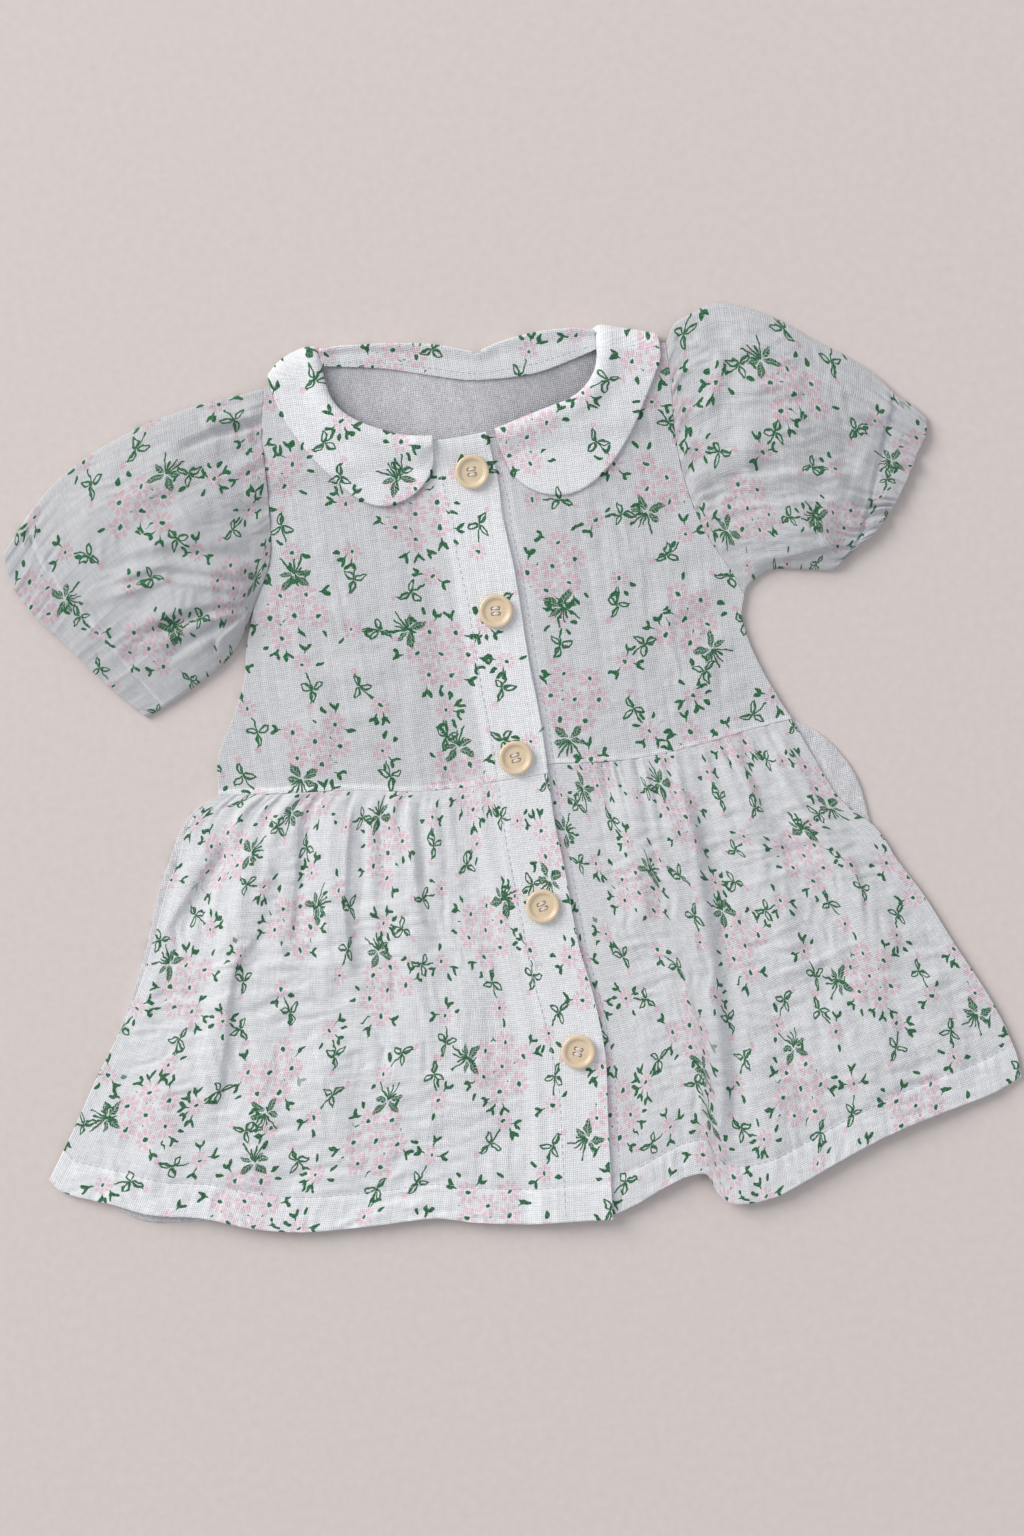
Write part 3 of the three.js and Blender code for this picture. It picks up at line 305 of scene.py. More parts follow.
# %% Long folds
def fold_height(folds, x, y):
    """Each fold is a crest that falls away S-shaped on both flanks and dies out at its ends."""
    total = np.zeros(np.broadcast(x, y).shape)
    for row in folds:
        path = np.array(row["path"], float)
        lengths = np.linalg.norm(np.diff(path, axis=0), axis=1)
        gap = np.full(total.shape, np.inf)
        side = np.zeros(total.shape)
        along = np.zeros(total.shape)
        run = 0.0
        for (ax, ay), (bx, by), length in zip(path[:-1], path[1:], lengths):
            dx, dy = bx - ax, by - ay
            t = np.clip(((x - ax) * dx + (y - ay) * dy) / length**2, 0, 1)
            d = np.hypot(x - ax - t * dx, y - ay - t * dy)
            nearer = d < gap
            gap = np.where(nearer, d, gap)
            side = np.where(nearer, dx * (y - ay) - dy * (x - ax), side)
            along = np.where(nearer, (run + t * length) / lengths.sum(), along)
            run += length
        flank = np.where(side > 0, row["before"], row["after"])
        ends = smooth(along / 0.18) * smooth((1 - along) / 0.22)
        total += row["high"] * ends * smooth(1 - gap / (1.7 * flank))
    return total


def fold(path, high, before, after):
    """One row of a table of folds; before is the flank to the left of the path."""
    return {"path": path, "high": high, "before": before, "after": after}


FOLDS_RIGHT = [
    fold([[-118, 4], [-125, -25], [-135, -46], [-149, -92], [-158, -130]], 2.6, 9, 6),
    fold([[-132, 2], [-148, -16], [-162, -36], [-176, -60], [-188, -92]], 2, 6, 9),
    fold([[-74, 0], [-80, -22], [-86, -45], [-88, -64], [-84, -84]], 2.2, 5, 11),
    fold([[-48, -4], [-55, -40], [-60, -90], [-66, -130]], 1.6, 9, 9),
    fold([[-100, -95], [-108, -130], [-112, -178]], 2, 12, 14),
]
FOLDS_LEFT = [
    fold([[66, -3], [69, -30], [70, -62], [69, -95], [67, -142], [61, -176], [58, -190]],
         3, 4, 24),
    fold([[88, -2], [97, -45], [104, -90], [108, -120]], 1.8, 9, 8),
    fold([[108, 0], [124, -40], [140, -84], [150, -120]], 2.2, 9, 7),
    fold([[48, -4], [46, -40], [42, -84]], 1.4, 7, 7),
    fold([[120, -110], [130, -140], [136, -174]], 1.8, 14, 14),
]
FOLDS_BODICE = [
    fold([[-101, 96], [-84, 84], [-62, 80]], 1.2, 6, 7),
    fold([[-104, 78], [-88, 60], [-76, 40]], 1, 6, 6),
    fold([[104, 76], [86, 66], [66, 64]], 1.2, 7, 6),
    fold([[104, 52], [88, 36], [82, 22]], 0.9, 6, 6),
    fold([[-62, 20], [-60, 60], [-64, 100]], 0.8, 9, 9),
    fold([[56, 20], [58, 60], [54, 96]], 0.8, 9, 9),
]
print("long folds:", len(FOLDS_RIGHT + FOLDS_LEFT + FOLDS_BODICE))

# %% Waist gathers: place along the gathered stretch, height, and reach down the skirt
GATHERS_RIGHT = np.array([
    [0.03, 1.5, 62], [0.1, 1.1, 34], [0.165, 1.7, 85], [0.24, 1.2, 30], [0.3, 1.5, 46],
    [0.375, 1.8, 72], [0.44, 1.1, 26], [0.51, 1.6, 88], [0.585, 1.3, 40], [0.65, 1.7, 60],
    [0.72, 1.2, 30], [0.785, 1.6, 76], [0.855, 1.2, 38], [0.92, 1.5, 54], [0.975, 0.9, 28]])
GATHERS_LEFT = np.array([
    [0.04, 1.1, 30], [0.115, 1.5, 52], [0.18, 1.2, 34], [0.26, 1.8, 90], [0.335, 1.3, 38],
    [0.41, 1.6, 66], [0.475, 1.1, 28], [0.55, 1.7, 80], [0.625, 1.3, 42], [0.7, 1.6, 58],
    [0.77, 1.2, 32], [0.84, 1.7, 74], [0.91, 1.3, 44], [0.97, 1.1, 30]])


def gather_height(gathers, at, down):
    """Crests with valleys midway: a cosine between them, fading as it goes down the skirt."""
    place, high, reach = gathers.T
    between = (place[1:] + place[:-1]) / 2
    k = np.searchsorted(between, at)
    low_end = np.concatenate([[0], between])[k]
    high_end = np.concatenate([between, [1]])[k]
    off = np.where(at < place[k], (place[k] - at) / (place[k] - low_end),
                   (at - place[k]) / (high_end - place[k]))
    fade = smooth(1 - down / (1.6 * reach[k])) * (0.55 + 0.45 * smooth(down / 9))
    return high[k] * fade * (0.5 + 0.5 * np.cos(np.pi * np.clip(off, 0, 1)))


# %% Crinkle: seeded noise on a lattice, stretched along one direction of the cloth
def gauze_noise(x, y, width, length, seed):
    """Random heights on a lattice of width by length mm, blended smoothly, from -1 to 1."""
    table = np.random.default_rng(seed).uniform(-1, 1, (128, 128))
    fx, fy = np.asarray(x) / width, np.asarray(y) / length
    ix, iy = np.floor(fx).astype(int), np.floor(fy).astype(int)
    tx, ty = smooth(fx - ix), smooth(fy - iy)
    corner = lambda dx, dy: table[(iy + dy) % 128, (ix + dx) % 128]
    return lerp(lerp(corner(0, 0), corner(1, 0), tx), lerp(corner(0, 1), corner(1, 1), tx), ty)


def streaks(x, y, seed):
    """Double gauze shrinks unevenly along its warp: narrow streaks, long in Y, plus dimples."""
    return (0.13 * gauze_noise(x, y, 2.3, 26, seed) + 0.11 * gauze_noise(x, y, 5.2, 40, seed + 1)
            + 0.10 * gauze_noise(x, y, 2.7, 2.7, seed + 2)
            + 0.4 * gauze_noise(x, y, 22, 29, seed + 3))


def crinkle(x, y, seed):
    """Creases of the washed cloth: wavy bands across, some 4 mm apart, in loose patches."""
    wander = 2.6 * gauze_noise(x, y, 19, 12, seed) + 1.1 * gauze_noise(x, y, 7, 6, seed + 4)
    bands = (0.7 * gauze_noise(x, y + wander, 13, 2.3, seed + 1)
             + 0.45 * gauze_noise(x, y + wander, 6, 1.7, seed + 5))
    beads = gauze_noise(x + wander, y, 2.4, 11, seed + 3)
    patches = smooth(0.5 + 1.3 * gauze_noise(x, y, 34, 22, seed + 2))
    return (0.12 + 0.42 * patches) * bands + (0.07 + 0.22 * (1 - patches)) * beads


# %% [markdown]
# ## From a grid to a mesh
#
# A piece of cloth is one closed wall: an upper and a lower grid with a narrow rim between them.
# The rim is rounded by drawing the last row in, so an edge looks folded, not cut with a knife.
# The mesh carries a UV map in metres of flat cloth, which the print and the weave follow.

# %% Shares of a grid and its rounded rim
RIM_DRAW = ((0, 0.35), (1, 0.35 * 0.35))    # row from the edge, share of the way to the middle


def shares(count):
    """Even shares from 0 to 1, with two extra close to each end for the rounded rim."""
    count = max(8, int(count * FINE))
    extra = np.array([0.12, 0.4]) * (1 / count)
    return np.unique(np.concatenate([np.linspace(0, 1, count + 1), extra, 1 - extra]))


def soften_rim(top, bottom):
    """Draws the outermost rows of both faces towards each other, which rounds the rim."""
    top, bottom = top.copy(), bottom.copy()
    middle = (top + bottom) / 2
    for line, share in RIM_DRAW:
        for cut in (np.s_[line, :], np.s_[-1 - line, :], np.s_[:, line], np.s_[:, -1 - line]):
            top[cut] = lerp(top[cut], middle[cut], share)
            bottom[cut] = lerp(bottom[cut], middle[cut], share)
    return top, bottom


# %% Faces of a grid, and an object from points and faces
def grid_quads(rows, cols, closed):
    """Four corners of each cell, row by row; closed joins the last column to the first."""
    j, i = np.meshgrid(np.arange(rows - 1), np.arange(cols if closed else cols - 1),
                       indexing="ij")
    i2 = (i + 1) % cols
    return np.stack([j * cols + i, j * cols + i2, (j + 1) * cols + i2, (j + 1) * cols + i],
                    axis=-1).reshape(-1, 4)


def mesh_piece(name, points, faces):
    """A smooth object from points in mm and faces, with its place in its mesh."""
    mesh = bpy.data.meshes.new(name)
    mesh.from_pydata(points * MM, [], faces)
    mesh.polygons.foreach_set("use_smooth", np.ones(len(mesh.polygons), bool))
    piece = bpy.data.objects.new(name, mesh)
    bpy.context.scene.collection.objects.link(piece)
    return piece


# %% One wall from two grids
def wall(name, upper, lower, flat, slots, layers_and_shade, around=0):
    """Mesh object of a closed wall. upper and lower are rows x columns x 3 in mm, flat the same
    grid's place on the uncut cloth in mm; slots are the materials of upper, lower and rim.
    around is a tube's girth of flat cloth in mm, and its last column then meets the first.
    The tone after the slots goes from 0 to 1: partly how opaque the cloth lies, 0 a single layer
    over air and 1 doubled and backed, and partly painted shade and painted highlight."""
    rows, cols = upper.shape[:2]
    points = np.concatenate([upper.reshape(-1, 3), lower.reshape(-1, 3)])
    points[:, :2] += ORIGIN
    side = rows * cols
    quads = [grid_quads(rows, cols, around)]
    quads.append(quads[0][:, ::-1] + side)

    def rim(a, b):
        quads.append(np.stack([b, a, a + side, b + side], axis=-1))
    line = np.arange(cols if around else cols - 1)
    rim(line, (line + 1) % cols)
    rim((rows - 1) * cols + (line + 1) % cols, (rows - 1) * cols + line)
    if not around:
        rise = np.arange(rows - 1)
        rim((rise + 1) * cols, rise * cols)
        rim(rise * cols + cols - 1, (rise + 1) * cols + cols - 1)
    faces = np.concatenate(quads)
    kinds = np.repeat(slots, [len(quads[0]), len(quads[1]), len(faces) - 2 * len(quads[0])])
    a, b, c = (points[faces[:, k]] for k in (0, 1, 2))
    if (np.einsum("ij,ij->i", a, np.cross(b, c))).sum() < 0:
        faces = faces[:, ::-1]
    piece = mesh_piece(name, points, faces)
    mesh = piece.data
    mesh.polygons.foreach_set("material_index", kinds.astype(np.int32))
    uv = np.concatenate([flat.reshape(-1, 2)] * 2) * MM
    loops = np.zeros(len(mesh.loops), np.int32)
    mesh.loops.foreach_get("vertex_index", loops)
    corners = uv[loops]
    column = loops.reshape(-1, 4) % cols
    if around:
        closing = (column == cols - 1).any(axis=1, keepdims=True) & (column == 0)
        corners[closing.ravel(), 0] -= around * MM
    mesh.uv_layers.new(name="cloth").uv.foreach_set("vector", corners.ravel())
    # The tone kept on the mesh: how opaque the cloth lies, together with painted shade and painted
    # highlight.
    cover_and_shade = np.broadcast_to(layers_and_shade, (rows, cols)).ravel().astype(np.float32)
    mesh.attributes.new("layers_and_shade", "FLOAT", "POINT").data.foreach_set(
        "value", np.concatenate([cover_and_shade, cover_and_shade]))
    print(f"{name}: {len(faces) * 2} triangles, top {points[:, 2].max():.1f} mm")
    return piece


def columns_flat(top, width, length):
    """Place on the flat cloth: along a row it follows the surface, so a gather hides cloth, and
    every row is the cloth's full width; down a column it follows the surface too."""
    across = np.linalg.norm(np.diff(top, axis=1), axis=2)
    u = np.concatenate([np.zeros((len(top), 1)), np.cumsum(across, axis=1)], axis=1)
    u = u / u[:, -1:] * width
    down = np.linalg.norm(np.diff(top, axis=0), axis=2).mean(axis=1)
    v = np.concatenate([[0], np.cumsum(down)])
    v = v / v[-1] * length
    return np.stack([u, np.broadcast_to(v[:, None], u.shape)], axis=-1)


# %% [markdown]
# ## Panels on a grid
#
# A panel is worked out on even shares of its two directions, some 1 mm apart, which is fine
# enough for a crease of the gauze. The grid is kept by name, because the stitches are later laid
# on the same surface.

# %% A panel that lies in plan
SURFACES = {}


def laid_panel(name, plan, columns, rows, under, cloth, layers_and_shade, flat=None, slots=(0, 1, 0)):
    """Upper surface = under(x, y, u, v) + cloth(x, y) at every plan point of the patch. The tone,
    a number or a function of (x, y, v), is how opaque the cloth lies plus painted shade."""
    u, v = shares(columns), shares(rows)
    place = plan(u, v)
    x, y = place[..., 0], place[..., 1]
    ground = under(x, y, u[None, :], v[:, None])
    upper = np.dstack([x, y, ground + cloth(x, y)])
    lower = np.dstack([x, y, ground])
    SURFACES[name] = (u, v, upper)
    cover_and_shade = layers_and_shade(x, y, v[:, None]) if callable(layers_and_shade) else layers_and_shade
    upper, lower = soften_rim(upper, lower)
    return wall(name, upper, lower, flat(upper) if flat else place, slots, cover_and_shade)


def on_strip(x, y):
    """1 on the doubled button strips and 0 off them."""
    off = x - strip_x(y)
    return np.where(off > 0, smooth((7 - off) / 5), smooth((off + PLACKET + 9) / 10))


def doubled(once, twice, band):
    """How opaque a front lies: once, and twice on its strip and in a band at its lower edge,
    where band is a share of the panel's length. Both levels carry painted shade as well, set
    piece by piece."""
    return lambda x, y, v: lerp(once, twice, np.maximum(on_strip(x, y), v < band))


def side_ease(x, y):
    """0 on the side seams and 1 from 12 mm inside them."""
    return smooth(to_side(x, y) / 12)


def front_under(x, y):
    """Underside of a front: the back's own height, its cloth, one gap and the loft."""
    return under_back(x, y) + BACK_CLOTH + SEAM + loft(x, y)


def bodice_folds(x, y):
    """The bodice's long folds, faded out on the strips and at the side seams."""
    return fold_height(FOLDS_BODICE, x, y) * clear_of_strip(x, y) * side_ease(x, y)


def right_front_top(x, y):
    """Upper surface of the right front, on which half of the collar lies."""
    return front_under(x, y) + ride_over(x, y) + bodice_folds(x, y) + right_cloth(x, y)


def left_front_top(x, y):
    """Upper surface of the left front, on which the other half lies."""
    return front_under(x, y) + bodice_folds(x, y) + left_cloth(x, y)


# %% [markdown]
# ## The bodice
#
# Two fronts and a back, seamed at the shoulders and sides. The strips at the front edges are
# folded double, and the right one laps over the left by its whole width. A stitch line holds
# the fold down, so the cloth sinks a little along it.

# %% Small relief of the bodice
STITCH_DIP, DIP_WIDTH = 0.16, 1.1
STITCH_IN = 1.5      # stitch line inside the right strip's folded edge
STITCH_BESIDE = 3    # the left strip's stitch line, just clear of the strip that covers it


def strip_dip(x, y):
    """A shallow groove along each of the two stitch lines: a bell curve across the line."""
    off = x - strip_x(y)
    return STITCH_DIP * (np.exp(-(((off + PLACKET - STITCH_IN) / DIP_WIDTH) ** 2))
                         + np.exp(-(((off - STITCH_BESIDE) / DIP_WIDTH) ** 2)))


CREASES_BODICE = [
    fold([[-92, 60], [-70, 56], [-44, 58]], 0.7, 5, 4),
    fold([[-96, 34], [-76, 40], [-48, 38]], 0.6, 4, 5),
    fold([[-88, 120], [-70, 112], [-52, 116]], 0.6, 5, 5),
    fold([[-40, 20], [-38, 60], [-42, 112]], 0.5, 4, 4),
    fold([[-84, 18], [-82, 50], [-88, 84]], 0.5, 4, 5),
    fold([[98, 92], [84, 86], [60, 92]], 0.7, 5, 4),
    fold([[94, 118], [76, 110], [58, 112]], 0.6, 5, 5),
    fold([[36, 16], [38, 56], [34, 100]], 0.5, 4, 4),
    fold([[76, 14], [74, 40], [80, 70]], 0.5, 5, 4),
    fold([[110, 26], [94, 24], [74, 30]], 0.6, 4, 4),
]


def bodice_relief(x, y, seed):
    """Streaks of the gauze, soft creases, and puckers where the waist gathers pull."""
    pull = 0.35 * gauze_noise(x, y, 3.1, 40, seed + 7) * smooth(1 - (y - 3) / 12)
    free = (1.25 * streaks(x, y, seed) + 0.65 * crinkle(y, x, seed + 4)
            + 0.3 * crinkle(x, y, seed + 20) + pull)
    rolled = 0.38 * np.exp(-(((y - waist_y(x) - 1.7) / 1.5) ** 2))
    eased = (free + fold_height(CREASES_BODICE, x, y)) * (0.4 + 0.6 * clear_of_strip(x, y))
    return eased * side_ease(x, y) + rolled - strip_dip(x, y)


# %% The two fronts and the back of the bodice
UP = JOIN / 2
ARMHOLE_FROM = 0.46
WHOLE_WAIST = ([WAIST_RIGHT, WAIST_BACK, WAIST_LEFT], [0.42, 0.62, 1])


def waist_seam(stretches, ends, shift):
    """The waist seam in stretches, moved up or down by half of what the join leaves open."""
    return edge([moved(points, 0, shift) for points in stretches], ends)


bodice_side_right = edge([moved(SIDE_RIGHT, 0, UP), ARMHOLE_RIGHT], [ARMHOLE_FROM, 1])
bodice_side_left = edge([moved(SIDE_LEFT, 0, UP), ARMHOLE_LEFT], [ARMHOLE_FROM, 1])
plan_front_right = panel_plan(
    bottom=waist_seam([WAIST_RIGHT, WAIST_STRIP], [0.72, 1], UP),
    top=edge([SHOULDER_RIGHT[::-1], NECK_RIGHT[::-1], NECK_STRIP_RIGHT[::-1]], [0.26, 0.76, 1]),
    left=bodice_side_right,
    right=curve([[x, UP if y == 0 else y] for x, y in STRIP_EDGE[:7][::-1]]))
plan_front_left = panel_plan(
    bottom=waist_seam([WAIST_UNDER, WAIST_LEFT], [0.3, 1], UP),
    top=edge([NECK_STRIP_LEFT, NECK_LEFT, SHOULDER_LEFT], [0.24, 0.74, 1]),
    left=curve([[-12, 1.5 + UP], [-11.5, 20], [-12, 50], [-12, 90], [-13, 115], [-13, 130],
                [-13.5, 150.5]]),
    right=bodice_side_left)
plan_bodice_back = panel_plan(
    bottom=waist_seam(*WHOLE_WAIST, UP),
    top=edge([SHOULDER_RIGHT[::-1], NECK_BACK, SHOULDER_LEFT], [0.16, 0.84, 1]),
    left=bodice_side_right, right=bodice_side_left)

# The fronts' tones are how opaque they lie plus painted shade; the left front's strip is painted
# darker than the right one's.
front_right = laid_panel(
    "bodice_front_right_gauze", plan_front_right, 125, 165, cloth=right_cloth,
    under=lambda x, y, u, v: (front_under(x, y) + ride_over(x, y) + bodice_folds(x, y)
                              + bodice_relief(x, y, 11)),
    layers_and_shade=doubled(0.36, 0.95, 0.016))
front_left = laid_panel(
    "bodice_front_left_gauze", plan_front_left, 125, 165, cloth=left_cloth,
    under=lambda x, y, u, v: front_under(x, y) + bodice_folds(x, y) + bodice_relief(x, y, 21),
    layers_and_shade=doubled(0.36, 0.8, 0.016))
# The inside of the back shows through the neck hole; its tone is painted darker towards both sides
# and lightest near x = -14 mm, as painted shade under the collar's roll.
back = laid_panel(
    "bodice_back_gauze", plan_bodice_back, 90, 88, slots=(1, 0, 0),
    under=lambda x, y, u, v: under_back(x, y),
    cloth=lambda x, y: BACK_CLOTH + 0.8 * streaks(x, y, 31) * smooth((y - 100) / 30),
    layers_and_shade=lambda x, y, v: 0.08 + 0.6 * np.exp(-((x + 14) / 36) ** 2))

# %% [markdown]
# ## The back neck facing
#
# A bias strip covers the neck seam inside the back. Its lower edge is stitched down, and it is
# cut from the printed side, so flowers show on it against the plain inside of the back.

# %% The facing
plan_facing = panel_plan(
    top=curve([[-58.1, 198.6], [-50, 198.6], [-40, 198], [-25, 196.6], [-14, 194.7], [-4, 192.3],
               [4, 189.2], [10, 186.9], [20, 189.8], [29, 191], [38, 191.6], [48, 191.6],
               [57, 190.4], [62.9, 188.6]]),
    bottom=curve([[-57.9, 192], [-48, 190.2], [-30, 186.5], [-6, 179], [5, 176], [17, 174.6],
                  [36, 174.6], [48, 177], [62.5, 180.5]]),
    left=curve([[-57.9, 192], [-58.1, 198.6]]), right=curve([[62.5, 180.5], [62.9, 188.6]]))
# The facing's tone of 0.6 is set below what its doubled cloth would give: painted shade inside the
# neck hole.
facing = laid_panel(
    "neck_facing_gauze", plan_facing, 120, 24, slots=(0, 0, 0),
    under=lambda x, y, u, v: (under_back(x, y) + BACK_CLOTH + 0.12 + 1.5 * smooth((v - 0.62) / 0.38)
                              + 0.3 * np.sin(np.pi * np.clip(v / 0.8, 0, 1))
                              + 1.1 * smooth(1 - u / 0.07) + 1.1 * smooth((u - 0.93) / 0.07)),
    cloth=lambda x, y: BACK_CLOTH + 0.25 * gauze_noise(x, y, 7, 5, 41),
    layers_and_shade=0.6)

# %% [markdown]
# ## The gathered skirt
#
# Each skirt front is some 255 mm of flat cloth drawn up to half of that at the waist. Gathers
# start as many narrow pleats in the seam. They merge into fewer, wider folds as they fall, so
# the relief is a table of crests, plus finer pleats that fade within a few centimetres. The hem
# is turned up 15 mm and stitched, which makes it one layer thicker and a little stiffer.

# %% Creases of the skirt
FLAT_WIDTH = 255     # a skirt front before it is gathered
PLEATED = 120        # the same front once it is gathered
CREASES_RIGHT = [
    fold([[-36, -60], [-44, -110], [-46, -160]], 1.0, 10, 8),
    fold([[-176, -104], [-180, -130], [-190, -156]], 1.2, 8, 8),
    fold([[-128, -96], [-136, -130], [-140, -168]], 1.1, 8, 9),
    fold([[-200, -140], [-160, -150], [-120, -160]], 0.7, 6, 8),
    fold([[-84, -120], [-60, -126], [-30, -124]], 0.5, 6, 6),
    fold([[-150, -70], [-120, -78], [-92, -76]], 0.6, 5, 6),
    fold([[-146, -148], [-122, -156], [-98, -150]], -1.6, 9, 9),
    fold([[-64, -146], [-42, -158], [-20, -150]], -1.4, 10, 8),
    fold([[-96, 0], [-99, -17], [-103, -32], [-110, -60]], -1.5, 4, 1.6),
    fold([[-126, -3], [-141, -20], [-152, -32], [-162, -43], [-173, -54]], -1.9, 6, 2.2),
    fold([[-117.5, -45], [-134.6, -63], [-139, -76], [-142, -89], [-149, -113], [-157, -133]],
         -1.8, 6, 1.5),
    fold([[-72, 3], [-78, -20], [-82.5, -42], [-84, -60], [-83.5, -80]], -2.0, 7, 1.4),
    fold([[-46, -3], [-47.5, -22], [-49, -50], [-47, -70]], -1.3, 5, 2.2),
    fold([[-171, -55.5], [-160, -60], [-151, -63]], 0.9, 1.6, 2.2),
    fold([[-123, -62.5], [-108, -66], [-94, -70.5]], 0.9, 1.8, 2.4),
    fold([[-78, -60.5], [-64, -66], [-51.5, -74]], 0.9, 2, 3),
    fold([[-62, -6], [-66, -34], [-68, -70]], -1.0, 4, 4),
    fold([[-40, -6], [-42, -30], [-50, -66]], 0.9, 3, 4),
    fold([[-176, -60], [-150, -64], [-128, -60]], 0.5, 3, 4),
]
CREASES_LEFT = [
    fold([[84, -130], [86, -160], [90, -186]], 1.3, 9, 8),
    fold([[156, -110], [166, -140], [170, -166]], 1.1, 9, 9),
    fold([[34, -60], [34, -110], [36, -170]], 0.8, 6, 7),
    fold([[110, -70], [134, -76], [160, -82]], 0.6, 5, 5),
    fold([[90, -150], [120, -146], [150, -148]], 0.6, 6, 6),
    fold([[73, -8], [77, -31], [78.5, -61], [77, -92], [75, -120], [71, -150], [66, -180]],
         -1.1, 5, 3.5),
    fold([[46, -14], [47, -40], [44, -76]], 0.8, 4, 6),
    fold([[92, -120], [98, -144], [103, -176]], -0.9, 4, 5),
    fold([[126, -104], [140, -130], [152, -158]], 0.8, 5, 5),
    fold([[150, -84], [160, -100], [172, -120]], 0.7, 4, 5),
    fold([[109.9, 2], [117.7, -7.9], [134.6, -25.3], [145.6, -38.5]], 1.3, 4, 3),
    fold([[91, -4], [94, -12], [98, -24], [101, -40]], 1.1, 3, 4),
    fold([[107, -34], [111.4, -47.8], [114.6, -60]], -0.9, 4, 4),
    fold([[84, -63], [104.5, -59.8], [122, -55]], 0.6, 1.2, 2),
    fold([[90, -104], [116, -99.4], [142, -92]], 0.7, 1.2, 2),
]

# %% Relief of the skirt
def fine_pleats(at, down, seed):
    """Narrow pleats of the gathering thread: the narrowest gone by 3 cm, the rest by 8 cm."""
    across = at * PLEATED + 1.2 * gauze_noise(at * PLEATED, down, 30, 16, seed + 5)
    loose = 0.35 + 0.65 * smooth(0.5 + 1.4 * gauze_noise(at * PLEATED, down, 21, 300, seed + 6))
    return loose * (0.85 * gauze_noise(across, down, 1.9, 46, seed) * smooth(1 - down / 30)
                    + 0.8 * gauze_noise(across, down, 4.1, 80, seed + 1) * smooth(1 - down / 80))


def skirt_under(folds, creases, gathers, at, ride, seed):
    """Lower surface of a skirt front: loft, gathers, pleats, folds and crinkle in one sum."""
    def under(x, y, u, v):
        down = (1 - v) * SKIRT_LENGTH
        share = at(u) + 0 * down
        wander = 0.006 * gauze_noise(share * 90, down, 18, 22, seed + 9)
        crest = gather_height(gathers, np.clip(share + wander, 0, 1), down + 0 * share)
        pleats = fine_pleats(share, down, seed)
        inside = smooth(np.minimum(share, 1 - share) * 30)
        pinch = 0.45 + 0.55 * smooth(down / 7)
        soft = smooth((down - 12) / 40)
        relief = ((0.55 * crest + 1.15 * pleats) * pinch * inside
                  + fold_height(folds + creases, x, y)
                  + (0.6 + 1.1 * soft) * crinkle(x, y, seed + 10)
                  + 1.15 * streaks(x, y, seed + 13))
        return (BACK_CLOTH + SEAM + loft(x, y) + ride(x, y) - strip_dip(x, y)
                + relief * (0.12 + 0.88 * clear_of_strip(x, y)) * side_ease(x, y)
                + hem_step(down) * side_ease(x, y))
    return under


def hem_step(down):
    """The turned-up hem stands 0.3 mm prouder, with the stitch line as a dip above it."""
    above = SKIRT_LENGTH - HEM - down
    return 0.3 * smooth(-above / 1.6) - 0.42 * np.exp(-((above - 0.4) / 1.2) ** 2)


def skirt_flat(upper):
    """Place on the flat cloth, measured downwards from the waist seam."""
    return columns_flat(upper[::-1], FLAT_WIDTH, SKIRT_LENGTH)[::-1] * [1, -1]


# %% The two skirt fronts and the skirt back
plan_skirt_right = panel_plan(
    bottom=edge([HEM_RIGHT, HEM_STRIP_RIGHT], [GATHERED, 1]),
    top=waist_seam([WAIST_RIGHT, WAIST_STRIP], [GATHERED, 1], -UP),
    left=curve(moved(SKIRT_SIDE_RIGHT, 0, -UP)),
    right=curve([[x, y - UP] for x, y in STRIP_EDGE[6:][::-1]]))
UNDER_EDGE = [[x - PLACKET, y] for x, y in STRIP_EDGE]
plan_skirt_left = panel_plan(
    bottom=edge([HEM_STRIP_LEFT, HEM_LEFT], [1 - GATHERED, 1]),
    top=waist_seam([WAIST_UNDER, WAIST_LEFT], [1 - GATHERED, 1], -UP),
    left=curve([[-14, -195], *UNDER_EDGE[8:13][::-1], [-12, -20], [-12, 1.5 - UP]]),
    right=curve(moved(SKIRT_SIDE_LEFT, 0, -UP)))
plan_skirt_back = panel_plan(
    bottom=curve(HEM_BACK),
    top=waist_seam(*WHOLE_WAIST, -UP),
    left=curve(moved(SKIRT_BACK_RIGHT, 0, -UP)), right=curve(moved(SKIRT_BACK_LEFT, 0, -UP)))

hem_share = HEM / SKIRT_LENGTH
# The skirt fronts' tones are how opaque they lie plus painted shade; the left front is painted
# darker than the right.
skirt_right = laid_panel(
    "skirt_front_right_gauze", plan_skirt_right, 235, 185, cloth=right_cloth, flat=skirt_flat,
    under=skirt_under(FOLDS_RIGHT, CREASES_RIGHT, GATHERS_RIGHT, lambda u: u / GATHERED,
                      ride_over, 51),
    layers_and_shade=doubled(0.74, 0.95, hem_share))
skirt_left = laid_panel(
    "skirt_front_left_gauze", plan_skirt_left, 235, 185, cloth=left_cloth, flat=skirt_flat,
    under=skirt_under(FOLDS_LEFT, CREASES_LEFT, GATHERS_LEFT,
                      lambda u: (u - 1 + GATHERED) / GATHERED, lambda x, y: 0 * x, 71),
    layers_and_shade=doubled(0.56, 0.72, hem_share))
skirt_back = laid_panel(
    "skirt_back_gauze", plan_skirt_back, 120, 64, slots=(1, 0, 0),
    under=lambda x, y, u, v: 0 * x,
    cloth=lambda x, y: (BACK_CLOTH + (1.1 * streaks(x, y, 91) + 0.7 * crinkle(x, y, 95) + 0.3)
                        * smooth(1.4 - to_side(x, y) / 40)),
    layers_and_shade=0.85)

# %% [markdown]
# ## Puff sleeves
#
# A puff sleeve is a wide tube, gathered into the armhole and again by an elastic a finger's width
# above its edge. Laid down, its lower half is flat on the floor and the upper half stands up in
# between, and the frill beyond the elastic opens again. The section is worked out ring by ring:
# the height of each ring follows a short table, and the gathers fade away from both seams.

